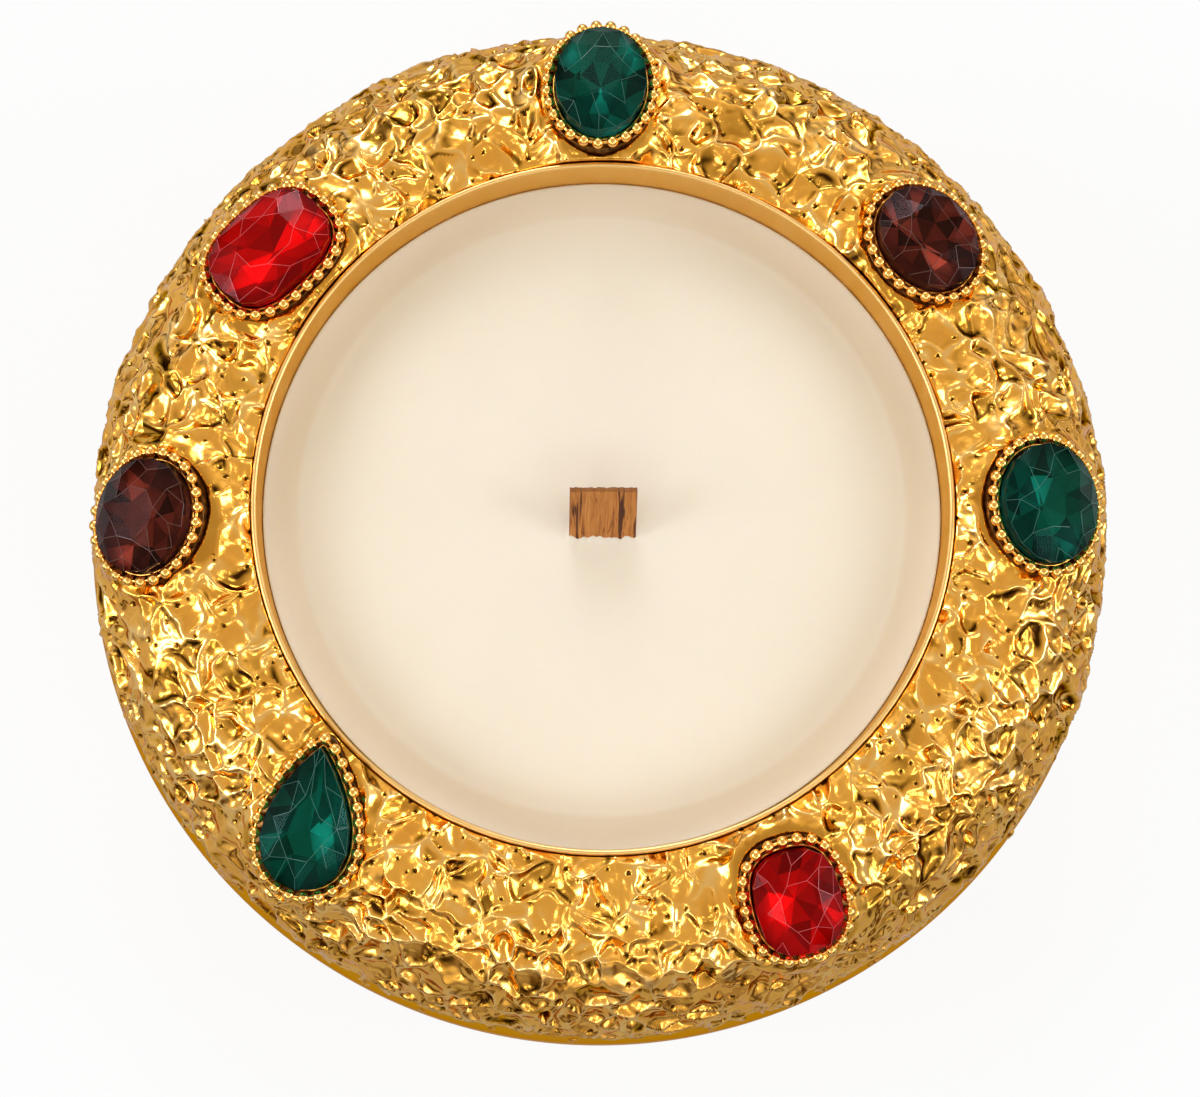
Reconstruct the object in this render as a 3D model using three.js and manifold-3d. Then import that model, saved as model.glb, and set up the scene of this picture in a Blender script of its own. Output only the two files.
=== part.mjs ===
import * as THREE from 'three';
import { mergeVertices } from 'three/addons/utils/BufferGeometryUtils.js';
import Module from 'manifold-3d';

const wasm = await Module();
wasm.setup();

// Bowl body. All sizes are millimetres, +Z is up and the bowl stands on z = 0.
const bowlRadius = 100;
const bowlHeight = 95;
const rimRadius = 65;
const shoulderHeight = 42;
const shoulderFullness = 2.8;
const footRadius = 50;
const flankFullness = 2.2;
const sheetThickness = 2.5;
const seamHeight = 22;
const tongueHeight = 4;
const tongueThickness = 1.5;

// Hammered dents in the collar.
const dentDepth = 1.3;
const dentSize = 14;
const dentMargin = 5;

// Inner cup.
const cupWall = 1;
const cupFloorRadius = 63;
const cupFloorHeight = 36;
const flangeReach = 5;
const flangeThickness = 1;
const cupCorner = 3;

// Wax.
const waxDrop = 10.9;
const meniscusRise = 0.9;
const meniscusWidth = 5;

// Wick, its clip and its sticker.
const wickWidth = 12.7;
const wickThickness = 1;
const wickExposed = 12.5;
const wickLean = 36;
const wickBend = 8;
const wickForward = 6.25;
const clipLength = 30;
const clipWidth = 14;
const clipSheet = 0.8;
const clipTabHeight = 7;
const stickerRadius = 11;
const stickerThickness = 1;

// Settings, beaded wires and stones. Heights are above the shoulder under the stone's middle.
const settingTop = 0.8;
const bezelHeight = 1.5;
const bezelWall = 0.55;
const bezelInset = 0.45;
const skirtDepth = 9;
const skirtOverhang = 0.6;
const beadRadius = 1.05;
const beadPitch = 2.8;
const linkRadius = 0.4;
const stoneGap = 0.2;
const stoneUndercut = 0.8;
const stoneSide = 1.8;
const crownHeight = 2.9;
const crownRings = 2;
const stoneFacets = 16;
const cushionFullness = 2.7;
const pearSwell = 1.28;
const pearTaper = 0.45;
const pearTip = 0.006;

// Plan sizes of the stones.
const emeraldBackLength = 23.9;
const emeraldBackWidth = 17.7;
const garnetRightLength = 21.6;
const garnetRightWidth = 18.3;
const emeraldRightLength = 22.8;
const emeraldRightWidth = 19.7;
const rubyFrontLength = 19.7;
const rubyFrontWidth = 16.2;
const emeraldPearLength = 26.7;
const emeraldPearWidth = 16.6;
const garnetLeftLength = 21.7;
const garnetLeftWidth = 19.3;
const rubyBackLength = 24.3;
const rubyBackWidth = 17.8;

// Clearances: general fit between pieces, and glue under the settings.
const fitGap = 0.3;
const glueGap = 0.3;

// How finely round shapes are divided.
const roundSteps = 60;
const collarSteps = 104;
const outlineSteps = 30;

const gold = new THREE.MeshStandardMaterial({ color: '#d4a046', metalness: 1, roughness: 0.25 });
const satinGold = new THREE.MeshStandardMaterial({ color: '#cd9b4b', metalness: 1, roughness: 0.4 });
const cream = new THREE.MeshStandardMaterial({ color: '#f3e8d6', roughness: 0.6 });
const timber = new THREE.MeshStandardMaterial({ color: '#be733c', roughness: 0.8 });
const steel = new THREE.MeshStandardMaterial({ color: '#b4b6b8', metalness: 1, roughness: 0.4 });
const paper = new THREE.MeshStandardMaterial({ color: '#e9e6df', roughness: 0.9 });
const emerald = new THREE.MeshStandardMaterial({ color: '#00503c', roughness: 0.08 });
const ruby = new THREE.MeshStandardMaterial({ color: '#b4000a', roughness: 0.08 });
const garnet = new THREE.MeshStandardMaterial({ color: '#4a1812', roughness: 0.08 });

// The stones. angle: degrees round the bowl from +X. across: share of the way from the rim to the widest
// line. spin: the length's direction, in degrees from the bowl's turning direction towards the rim.
const stones = [
  {
    name: 'emerald_back', cut: 'oval', glass: emerald, angle: 90.4, across: 0.447, spin: 87,
    length: emeraldBackLength, width: emeraldBackWidth,
  },
  {
    name: 'garnet_right', cut: 'oval', glass: garnet, angle: 39.6, across: 0.4, spin: -3.5,
    length: garnetRightLength, width: garnetRightWidth,
  },
  {
    name: 'emerald_right', cut: 'oval', glass: emerald, angle: 0, across: 0.501, spin: 1.6,
    length: emeraldRightLength, width: emeraldRightWidth,
  },
  {
    name: 'ruby_front', cut: 'cushion', glass: ruby, angle: 295.5, across: 0.472, spin: 80,
    length: rubyFrontLength, width: rubyFrontWidth,
  },
  {
    name: 'emerald_pear', cut: 'pear', glass: emerald, angle: 227.7, across: 0.417, spin: 121,
    length: emeraldPearLength, width: emeraldPearWidth,
  },
  {
    name: 'garnet_left', cut: 'oval', glass: garnet, angle: 181.9, across: 0.564, spin: 161,
    length: garnetLeftLength, width: garnetLeftWidth,
  },
  {
    name: 'ruby_back', cut: 'cushion', glass: ruby, angle: 142.6, across: 0.39, spin: 171,
    length: rubyBackLength, width: rubyBackWidth,
  },
];

const equatorHeight = bowlHeight - shoulderHeight;
const shoulderReach = bowlRadius - rimRadius;
const radians = THREE.MathUtils.degToRad;

// A point of the shoulder curve, moved out along its normal.
// turn runs from 0 at the widest line to 90 at the rim.
function shoulderPoint(turn, lift = 0) {
  const power = 2 / shoulderFullness;
  const out = shoulderReach * Math.cos(radians(turn)) ** power;
  const up = shoulderHeight * Math.sin(radians(turn)) ** power;
  const slope = new THREE.Vector2(
    out ** (shoulderFullness - 1) / shoulderReach ** shoulderFullness,
    up ** (shoulderFullness - 1) / shoulderHeight ** shoulderFullness,
  ).normalize();
  return new THREE.Vector2(rimRadius + out, equatorHeight + up).addScaledVector(slope, lift);
}

// The turn at which the shoulder is a given height above the widest line.
function turnAtHeight(height) {
  const share = THREE.MathUtils.clamp(height / shoulderHeight, 0, 1);
  return THREE.MathUtils.radToDeg(Math.asin(share ** (shoulderFullness / 2)));
}

// The turn at which the shoulder is a given share of the way from the rim to the widest line.
function turnAcross(across) {
  return THREE.MathUtils.radToDeg(Math.acos(across ** (shoulderFullness / 2)));
}

// Points of the shoulder between two turns.
function shoulderRun(fromTurn, toTurn, steps, lift = 0) {
  return Array.from({ length: steps + 1 }, (_, i) =>
    shoulderPoint(fromTurn + (toTurn - fromTurn) * i / steps, lift));
}

// A point of the flank below the widest line, moved out along its normal.
// turn runs from 0 there to 90 at the foot.
function flankPoint(turn, lift = 0) {
  const power = 2 / flankFullness;
  const reach = bowlRadius - footRadius;
  const out = reach * Math.cos(radians(turn)) ** power;
  const down = equatorHeight * Math.sin(radians(turn)) ** power;
  const slope = new THREE.Vector2(
    out ** (flankFullness - 1) / reach ** flankFullness,
    -(down ** (flankFullness - 1)) / equatorHeight ** flankFullness,
  ).normalize();
  return new THREE.Vector2(footRadius + out, equatorHeight - down).addScaledVector(slope, lift);
}

// A round solid from a closed profile of (radius, height) points, outside going up.
function turned(profile, steps = roundSteps) {
  const lathe = new THREE.LatheGeometry(profile, steps);
  lathe.rotateX(Math.PI / 2);
  return lathe;
}

// A clean indexed geometry with no seams.
function welded(geometry) {
  geometry.deleteAttribute('normal');
  geometry.deleteAttribute('uv');
  return mergeVertices(geometry, 1e-4);
}

function toSolid(geometry) {
  const clean = welded(geometry);
  const mesh = new wasm.Mesh({
    numProp: 3,
    vertProperties: new Float32Array(clean.attributes.position.array),
    triVerts: new Uint32Array(clean.index.array),
  });
  mesh.merge();
  return new wasm.Manifold(mesh);
}

function fromSolid(solid) {
  const mesh = solid.getMesh();
  const geometry = new THREE.BufferGeometry();
  geometry.setAttribute('position', new THREE.BufferAttribute(new Float32Array(mesh.vertProperties), 3));
  geometry.setIndex(new THREE.BufferAttribute(new Uint32Array(mesh.triVerts), 1));
  return geometry;
}

const bowl = new THREE.Group();
bowl.name = 'candle_bowl';

function addPiece(name, geometry, material) {
  const mesh = new THREE.Mesh(geometry, material);
  mesh.name = name;
  bowl.add(mesh);
  return mesh;
}

// A box standing on a height, centred in plan.
function block(sizeX, sizeY, fromZ, toZ, y = 0) {
  const box = new THREE.BoxGeometry(sizeX, sizeY, toZ - fromZ);
  box.translate(0, y, (fromZ + toZ) / 2);
  return box;
}

// The outline of a cut stone, as plan points.
// A margin grows it outwards, and one below zero makes it that much smaller.
function stoneOutline(stone, margin, steps = outlineSteps) {
  const shrink = Math.min(margin, 0);
  const half = [stone.length / 2 + shrink, stone.width / 2 + shrink];
  const at = (t) => {
    const c = Math.cos(t);
    const s = Math.sin(t);
    if (stone.cut === 'cushion') {
      const soften = (value) => Math.sign(value) * Math.abs(value) ** (2 / cushionFullness);
      return new THREE.Vector2(half[0] * soften(c), half[1] * soften(s));
    }
    if (stone.cut === 'pear') {
      const taper = (Math.sin(t / 2) ** 2 + pearTip) ** pearTaper;
      return new THREE.Vector2(half[0] * c, half[1] * pearSwell * s * taper);
    }
    return new THREE.Vector2(half[0] * c, half[1] * s);
  };
  return Array.from({ length: steps }, (_, i) => {
    const t = i / steps * 2 * Math.PI;
    const ahead = at(t + 1e-3).sub(at(t - 1e-3)).normalize();
    return at(t).add(new THREE.Vector2(ahead.y, -ahead.x).multiplyScalar(Math.max(margin, 0)));
  });
}

// Where a stone sits: X along the bowl's turning direction, Y up the shoulder and Z out of it,
// turned by its spin.
function stonePlace(stone) {
  const turn = turnAcross(stone.across);
  const onCurve = shoulderPoint(turn);
  const outward = shoulderPoint(turn, 1).sub(onCurve);
  const angle = radians(stone.angle);
  const radial = new THREE.Vector3(Math.cos(angle), Math.sin(angle), 0);
  const tangent = new THREE.Vector3(-Math.sin(angle), Math.cos(angle), 0);
  const normal = radial.clone().multiplyScalar(outward.x).setZ(outward.y);
  const upward = normal.clone().cross(tangent);
  const place = new THREE.Matrix4().makeBasis(tangent, upward, normal);
  place.setPosition(radial.multiplyScalar(onCurve.x).setZ(onCurve.y));
  return place.multiply(new THREE.Matrix4().makeRotationZ(radians(stone.spin)));
}

for (const stone of stones) {
  stone.place = stonePlace(stone);
}

// A straight prism on a plan outline.
function prism(outline, fromZ, toZ) {
  const shape = new THREE.Shape(outline);
  const solid = new THREE.ExtrudeGeometry(shape, { depth: toZ - fromZ, bevelEnabled: false });
  solid.translate(0, 0, fromZ);
  return solid;
}

// A repeatable pseudo-random share from two whole numbers.
function scatter(i, j, salt) {
  const value = Math.sin(i * 127.1 + j * 311.7 + salt * 74.7) * 43758.5453;
  return value - Math.floor(value);
}

// Depth of the hammering at a place on the collar: round-bottomed dents meeting in sharp ridges.
function dentAt(angle, along, around) {
  const columns = Math.round(around / dentSize);
  const x = angle / (2 * Math.PI) * columns;
  const y = along / dentSize;
  let nearest = 2;
  for (let j = Math.floor(y) - 1; j <= Math.floor(y) + 1; j += 1) {
    for (let i = Math.floor(x) - 1; i <= Math.floor(x) + 1; i += 1) {
      const column = ((i % columns) + columns) % columns;
      const dx = i + 0.15 + 0.7 * scatter(column, j, 1) - x;
      const dy = j + 0.15 + 0.7 * scatter(column, j, 2) - y;
      nearest = Math.min(nearest, Math.hypot(dx, dy));
    }
  }
  return dentDepth * Math.max(0, 1 - nearest * nearest);
}

// How much of the hammering is left at a point: none under and next to a setting.
function dentShare(point) {
  let share = 1;
  for (const stone of stones) {
    const local = point.clone().applyMatrix4(stone.place.clone().invert());
    const reachX = local.x / (stone.length / 2 + dentMargin);
    const reachY = local.y / (stone.width / 2 + dentMargin);
    const reach = Math.hypot(reachX, reachY);
    if (Math.abs(local.z) < skirtDepth) {
      share = Math.min(share, THREE.MathUtils.smoothstep(reach, 0.9, 1.3));
    }
  }
  return share;
}

// The collar: hammered outside, plain inside, open to the cup at its rim.
function makeCollar() {
  const seamTurn = turnAtHeight(seamHeight);
  const rimEdge = rimRadius + cupWall + fitGap;
  const rimTurn = turnAcross((rimEdge - rimRadius) / shoulderReach);
  const outside = shoulderRun(seamTurn, rimTurn, 15);
  const tongueTurn = turnAtHeight(seamHeight + tongueHeight);
  const inside = [
    ...shoulderRun(rimTurn, tongueTurn, 4, -sheetThickness),
    shoulderPoint(seamTurn, -sheetThickness),
  ];
  inside[0].x = rimEdge;
  const collar = turned([...outside, ...inside, outside[0]], collarSteps);
  const position = collar.attributes.position;
  const rows = outside.length + inside.length + 1;
  const seam = outside[0];
  const around = 2 * Math.PI * (rimRadius + bowlRadius) / 2;
  const point = new THREE.Vector3();
  for (let i = 0; i < position.count; i += 1) {
    const row = i % rows;
    if (row > 0 && row < outside.length - 1) {
      point.fromBufferAttribute(position, i);
      const angle = Math.atan2(point.y, point.x);
      const along = Math.hypot(outside[row].x - seam.x, outside[row].y - seam.y);
      const depth = dentAt(angle, along, around) * dentShare(point);
      const turn = seamTurn + (rimTurn - seamTurn) * row / (outside.length - 1);
      const pressed = shoulderPoint(turn, -depth);
      position.setXYZ(i, pressed.x * Math.cos(angle), pressed.x * Math.sin(angle), pressed.y);
    }
  }
  return welded(collar);
}

addPiece('hammered_collar', makeCollar(), gold);

// The lower bowl: base, flank, and a tongue that reaches up inside the collar.
function makeLowerBowl() {
  const seamTurn = turnAtHeight(seamHeight);
  const gapTurn = turnAtHeight(seamHeight - fitGap);
  const tongueTurn = turnAtHeight(seamHeight + tongueHeight);
  const rootTurn = turnAtHeight(seamHeight - tongueHeight);
  const tongueOut = -(sheetThickness + fitGap);
  const tongueIn = tongueOut - tongueThickness;
  const flank = (from, to, steps, lift) => Array.from({ length: steps + 1 }, (_, i) =>
    flankPoint(from + (to - from) * i / steps, lift));
  const profile = [
    new THREE.Vector2(0, 0),
    ...flank(90, 0, 10, 0),
    ...shoulderRun(0, gapTurn, 3).slice(1),
    shoulderPoint(gapTurn, tongueOut),
    ...shoulderRun(seamTurn, tongueTurn, 1, tongueOut),
    ...shoulderRun(tongueTurn, rootTurn, 2, tongueIn),
    shoulderPoint(rootTurn / 2, -sheetThickness),
    ...flank(0, 90, 6, -sheetThickness),
    new THREE.Vector2(0, sheetThickness),
  ];
  return welded(turned(profile));
}

addPiece('lower_bowl', makeLowerBowl(), gold);

// The inner cup: a tapered liner flush with the rim, with a flange under the collar.
const cupFloorTop = cupFloorHeight + cupWall;
const flangeEdge = rimRadius + cupWall + flangeReach;
const flangeTurn = turnAcross((flangeEdge - rimRadius) / shoulderReach);
const flangeTop = shoulderPoint(flangeTurn, -sheetThickness).y - fitGap;

// The cup's inside radius at a height.
function cupRadiusAt(z) {
  return THREE.MathUtils.mapLinear(z, cupFloorTop, bowlHeight, cupFloorRadius, rimRadius);
}

function makeCup() {
  const lip = cupWall / 2;
  const flangeFoot = flangeTop - flangeThickness;
  const profile = [
    new THREE.Vector2(0, cupFloorHeight),
    new THREE.Vector2(cupFloorRadius - cupCorner, cupFloorHeight),
    new THREE.Vector2(cupFloorRadius + cupWall, cupFloorHeight + cupCorner + cupWall),
    new THREE.Vector2(cupRadiusAt(flangeFoot) + cupWall, flangeFoot),
    new THREE.Vector2(flangeEdge, flangeFoot),
    new THREE.Vector2(flangeEdge, flangeTop),
    new THREE.Vector2(cupRadiusAt(flangeTop) + cupWall, flangeTop),
    new THREE.Vector2(rimRadius + cupWall, bowlHeight - lip),
    new THREE.Vector2(rimRadius + 0.8 * cupWall, bowlHeight - 0.1 * lip),
    new THREE.Vector2(rimRadius + lip, bowlHeight),
    new THREE.Vector2(rimRadius + 0.2 * cupWall, bowlHeight - 0.1 * lip),
    new THREE.Vector2(rimRadius, bowlHeight - lip),
    new THREE.Vector2(cupRadiusAt(cupFloorTop + cupCorner), cupFloorTop + cupCorner),
    new THREE.Vector2(cupFloorRadius - cupCorner, cupFloorTop),
    new THREE.Vector2(0, cupFloorTop),
  ];
  return welded(turned(profile));
}

addPiece('inner_cup', makeCup(), satinGold);

// Wick, clip and sticker stack up from the cup's floor.
const waxTop = bowlHeight - waxDrop;
const waxFoot = cupFloorTop + fitGap;
const stickerFoot = cupFloorTop + fitGap;
const clipFoot = stickerFoot + stickerThickness + fitGap;
const wickFoot = clipFoot + clipSheet + fitGap;

// The wick's middle line: upright in the clip, bending back below the wax's surface, then straight.
function wickLine() {
  const lean = radians(wickLean);
  const bendFoot = waxTop - wickBend * Math.sin(lean);
  const steps = 6;
  const bend = Array.from({ length: steps + 1 }, (_, i) => {
    const turn = lean * i / steps;
    const back = wickBend * (1 - Math.cos(turn));
    return new THREE.Vector3(0, back - wickForward, bendFoot + wickBend * Math.sin(turn));
  });
  const foot = new THREE.Vector3(0, -wickForward, wickFoot);
  const ahead = new THREE.Vector3(0, Math.sin(lean), Math.cos(lean));
  const tip = bend[steps].clone().addScaledVector(ahead, wickExposed);
  return [foot, ...bend, tip];
}

// A flat strip along a line that lies in the plane x = 0, grown by a margin on every side.
function strip(line, width, thickness, margin) {
  const side = (i) => {
    const before = line[Math.max(i - 1, 0)];
    const after = line[Math.min(i + 1, line.length - 1)];
    const ahead = after.clone().sub(before).normalize();
    return new THREE.Vector2(ahead.z, -ahead.y).multiplyScalar(thickness / 2 + margin);
  };
  const first = line[0].clone().sub(line[1]).setLength(margin);
  const last = line[line.length - 1].clone().sub(line[line.length - 2]).setLength(margin);
  const middle = line.map((point) => new THREE.Vector2(point.y, point.z));
  middle[0].add(new THREE.Vector2(first.y, first.z));
  middle[middle.length - 1].add(new THREE.Vector2(last.y, last.z));
  const front = middle.map((point, i) => point.clone().sub(side(i)));
  const back = middle.map((point, i) => point.clone().add(side(i))).reverse();
  const shape = new THREE.Shape([...front, ...back]);
  const depth = width + 2 * margin;
  const solid = new THREE.ExtrudeGeometry(shape, { depth, bevelEnabled: false });
  solid.translate(0, 0, -depth / 2);
  return solid.applyMatrix4(new THREE.Matrix4().makeBasis(
    new THREE.Vector3(0, 1, 0),
    new THREE.Vector3(0, 0, 1),
    new THREE.Vector3(1, 0, 0),
  ));
}

addPiece('wick', welded(strip(wickLine(), wickWidth, wickThickness, 0)), timber);

// The clip: a foot plate with a tab on each side of the wick. grow leaves room round it for the wax.
function makeClip(grow) {
  const plateTop = clipFoot + clipSheet;
  const tabTop = plateTop + clipTabHeight;
  const tabCentre = wickThickness / 2 + fitGap + clipSheet / 2;
  const around = 2 * grow;
  const plateFoot = clipFoot - grow;
  const plate = block(clipLength + around, clipWidth + around, plateFoot, plateTop + grow, -wickForward);
  let clip = toSolid(plate);
  for (const face of [-1, 1]) {
    const y = face * tabCentre - wickForward;
    const tab = block(wickWidth + around, clipSheet + around, clipFoot, tabTop + grow, y);
    clip = clip.add(toSolid(tab));
  }
  return clip;
}

addPiece('wick_clip', fromSolid(makeClip(0)), steel);

function makeSticker(grow) {
  const radius = stickerRadius + grow;
  const disc = new THREE.CylinderGeometry(radius, radius, stickerThickness + 2 * grow, 32);
  disc.rotateX(Math.PI / 2);
  disc.translate(0, -wickForward, stickerFoot + stickerThickness / 2);
  return disc;
}

addPiece('wick_sticker', welded(makeSticker(0)), paper);

// The wax: fills the cup to just below the rim, climbs a little at the wall, and leaves room for the wick.
function makeWax() {
  const edge = (z) => cupRadiusAt(z) - fitGap;
  const rise = (share) => new THREE.Vector2(
    edge(waxTop) - meniscusWidth * (1 - share),
    waxTop + meniscusRise * share ** 2,
  );
  const profile = [
    new THREE.Vector2(0, waxFoot),
    new THREE.Vector2(cupFloorRadius - cupCorner - fitGap, waxFoot),
    new THREE.Vector2(edge(waxFoot + cupCorner), waxFoot + cupCorner),
    rise(1),
    rise(0.75),
    rise(0.45),
    rise(0),
    new THREE.Vector2(0, waxTop),
  ];
  return toSolid(turned(profile))
    .subtract(toSolid(strip(wickLine(), wickWidth, wickThickness, fitGap)))
    .subtract(makeClip(fitGap))
    .subtract(toSolid(makeSticker(fitGap)));
}

addPiece('wax', fromSolid(makeWax()), cream);

// The collar's plain outside, grown by the glue gap, that the settings are fitted to.
function makeSeat() {
  const outside = shoulderRun(0, 90, 18, glueGap);
  const foot = new THREE.Vector2(0, equatorHeight);
  const top = new THREE.Vector2(0, bowlHeight + glueGap);
  return toSolid(turned([foot, ...outside, top], collarSteps));
}

const seat = makeSeat();
const beadLine = bezelWall - bezelInset + fitGap + beadRadius;
const beadHeight = settingTop + fitGap + beadRadius;
const stoneFoot = settingTop + bezelHeight + stoneGap;
const girdleHeight = stoneFoot + stoneSide;

// A setting: a flat-topped foot cut to the shoulder, with a low wall round the stone.
function makeSetting(stone) {
  const wallTop = settingTop + bezelHeight;
  const foot = toSolid(prism(stoneOutline(stone, beadLine + skirtOverhang), -skirtDepth, settingTop));
  const wallOut = toSolid(prism(stoneOutline(stone, bezelWall - bezelInset), 0, wallTop));
  const wallIn = toSolid(prism(stoneOutline(stone, -bezelInset), settingTop, wallTop + bezelHeight));
  const matrix = stone.place.toArray();
  const setting = foot.add(wallOut).subtract(wallIn).transform(matrix);
  return fromSolid(setting.subtract(seat));
}

// Even places along a closed plan outline.
function evenly(outline, count) {
  const lengths = outline.map((point, i) => point.distanceTo(outline[(i + 1) % outline.length]));
  const total = lengths.reduce((sum, length) => sum + length, 0);
  return Array.from({ length: count }, (_, k) => {
    let left = total * k / count;
    let i = 0;
    while (left > lengths[i] && i < outline.length - 1) {
      left -= lengths[i];
      i += 1;
    }
    return outline[i].clone().lerp(outline[(i + 1) % outline.length], left / lengths[i]);
  });
}

// A closed solid through equal rings of points; with no caps the last ring joins the first.
function skin(rings) {
  const count = rings[0].length;
  const vertices = rings.flat().flatMap((point) => [point.x, point.y, point.z]);
  const faces = [];
  for (let r = 0; r < rings.length; r += 1) {
    const next = (r + 1) % rings.length;
    for (let i = 0; i < count; i += 1) {
      const j = (i + 1) % count;
      const corners = [r * count + i, r * count + j, next * count + j, next * count + i];
      faces.push(corners[0], corners[1], corners[2]);
      faces.push(corners[0], corners[2], corners[3]);
    }
  }
  const geometry = new THREE.BufferGeometry();
  geometry.setAttribute('position', new THREE.Float32BufferAttribute(vertices, 3));
  geometry.setIndex(faces);
  return geometry;
}

// A beaded wire: bead and link sections in turn along the line round a stone.
function makeBeads(stone) {
  const fine = stoneOutline(stone, beadLine, 360);
  const girth = fine.reduce((sum, point, i) => sum + point.distanceTo(fine[(i + 1) % fine.length]), 0);
  const count = Math.round(girth / beadPitch);
  const middles = evenly(fine, count * 2);
  const sides = 5;
  const rings = middles.map((middle, k) => {
    const ahead = middles[(k + 1) % middles.length].clone()
      .sub(middles[(k + middles.length - 1) % middles.length]).normalize();
    const radius = k % 2 === 0 ? beadRadius : linkRadius;
    return Array.from({ length: sides }, (_, i) => {
      const turn = i / sides * 2 * Math.PI;
      const across = radius * Math.cos(turn);
      return new THREE.Vector3(
        middle.x + ahead.y * across,
        middle.y - ahead.x * across,
        beadHeight - radius * Math.sin(turn),
      );
    });
  });
  return skin(rings).applyMatrix4(stone.place);
}

// A cut stone: pointed below, a sloping side, and rings of facets rising to a flat table.
function makeStone(stone) {
  const girdle = stoneOutline(stone, 0, stoneFacets);
  const low = stoneOutline(stone, -stoneUndercut, stoneFacets);
  const levels = [
    { outline: low, height: stoneFoot, scale: 1 },
    { outline: girdle, height: girdleHeight, scale: 1 },
  ];
  for (let k = 1; k <= crownRings; k += 1) {
    const share = k / (crownRings + 0.6);
    levels.push({
      outline: girdle,
      height: girdleHeight + crownHeight * Math.sin(share * Math.PI / 2),
      scale: Math.cos(share * Math.PI / 2) ** 0.8,
    });
  }
  const points = levels.flatMap((level) => level.outline.map((point) =>
    new THREE.Vector3(point.x * level.scale, point.y * level.scale, level.height)));
  const top = levels[levels.length - 1].height;
  const culet = new THREE.Vector3(0, 0, settingTop + fitGap);
  points.push(culet, new THREE.Vector3(0, 0, top));
  const faces = [];
  for (let i = 0; i < stoneFacets; i += 1) {
    const j = (i + 1) % stoneFacets;
    faces.push(points.length - 2, j, i);
    for (let k = 0; k < levels.length - 1; k += 1) {
      const a = k * stoneFacets;
      const b = a + stoneFacets;
      if ((i + k) % 2 === 0) {
        faces.push(a + i, a + j, b + i);
        faces.push(a + j, b + j, b + i);
      } else {
        faces.push(a + i, a + j, b + j);
        faces.push(a + i, b + j, b + i);
      }
    }
    const table = (levels.length - 1) * stoneFacets;
    faces.push(table + i, table + j, points.length - 1);
  }
  const geometry = new THREE.BufferGeometry().setFromPoints(points);
  geometry.setIndex(faces);
  return geometry.applyMatrix4(stone.place);
}

for (const stone of stones) {
  addPiece(`setting_${stone.name}`, makeSetting(stone), gold);
  addPiece(`beads_${stone.name}`, makeBeads(stone), gold);
  addPiece(`stone_${stone.name}`, makeStone(stone), stone.glass);
}

bowl.traverse((piece) => {
  if (piece.isMesh) {
    piece.geometry.computeVertexNormals();
  }
});

export default bowl;
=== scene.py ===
import math
import random

import bmesh
import bpy
from mathutils import Matrix, Vector, kdtree, noise


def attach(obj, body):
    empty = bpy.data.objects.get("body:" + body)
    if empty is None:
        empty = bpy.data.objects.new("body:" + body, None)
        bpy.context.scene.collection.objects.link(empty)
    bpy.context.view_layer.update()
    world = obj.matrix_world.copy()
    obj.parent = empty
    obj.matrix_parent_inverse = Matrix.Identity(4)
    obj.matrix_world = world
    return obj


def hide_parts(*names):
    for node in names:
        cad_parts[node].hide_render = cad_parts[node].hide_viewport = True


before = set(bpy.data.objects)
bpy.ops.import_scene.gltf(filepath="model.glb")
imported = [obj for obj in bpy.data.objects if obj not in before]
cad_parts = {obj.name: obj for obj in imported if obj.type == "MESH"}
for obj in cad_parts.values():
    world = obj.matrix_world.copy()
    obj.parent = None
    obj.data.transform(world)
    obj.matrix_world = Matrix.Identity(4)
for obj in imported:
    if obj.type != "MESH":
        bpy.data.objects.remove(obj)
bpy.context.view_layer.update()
mm = 0.001
scene = bpy.context.scene
scene.view_settings.view_transform = "Standard"


# Small helpers for every piece

noiseSpan = (0.3, 0.7)  # nearly all values of a noise field lie here


def setInputs(node, inputs):  # each input gets a value, or another node's output
    for name, value in inputs.items():
        if isinstance(value, bpy.types.NodeSocket):
            node.id_data.links.new(value, node.inputs[name])
        else:
            node.inputs[name].default_value = value


def addNode(tree, kind, inputs, **modes):
    node = tree.nodes.new(kind)
    for name, mode in modes.items():
        setattr(node, name, mode)
    setInputs(node, inputs)
    return node


def newMaterial(name, base, metallic, roughness):
    material = bpy.data.materials.new(name)
    material.use_nodes = True
    shader = material.node_tree.nodes["Principled BSDF"]
    setInputs(shader, {"Base Color": (*base, 1), "Metallic": metallic, "Roughness": roughness})
    return material, material.node_tree, shader


def objectSpace(tree, scale=(1, 1, 1)):
    place = tree.nodes.new("ShaderNodeTexCoord").outputs["Object"]
    return addNode(tree, "ShaderNodeMapping", {"Vector": place, "Scale": scale}).outputs["Vector"]


def noiseField(tree, space, scale, detail, roughness, distortion=0.0):
    inputs = {"Vector": space, "Scale": scale, "Detail": detail, "Roughness": roughness,
              "Distortion": distortion}
    return addNode(tree, "ShaderNodeTexNoise", inputs).outputs["Fac"]


def attributeOf(tree, name):
    return addNode(tree, "ShaderNodeAttribute", {}, attribute_name=name).outputs["Fac"]


def rampOf(tree, value, stops):
    ramp = addNode(tree, "ShaderNodeValToRGB", {"Fac": value})
    while len(ramp.color_ramp.elements) < len(stops):
        ramp.color_ramp.elements.new(0.5)
    for element, (place, colour) in zip(ramp.color_ramp.elements, stops):
        element.position = place
        element.color = (*colour, 1)
    return ramp.outputs["Color"]


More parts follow.
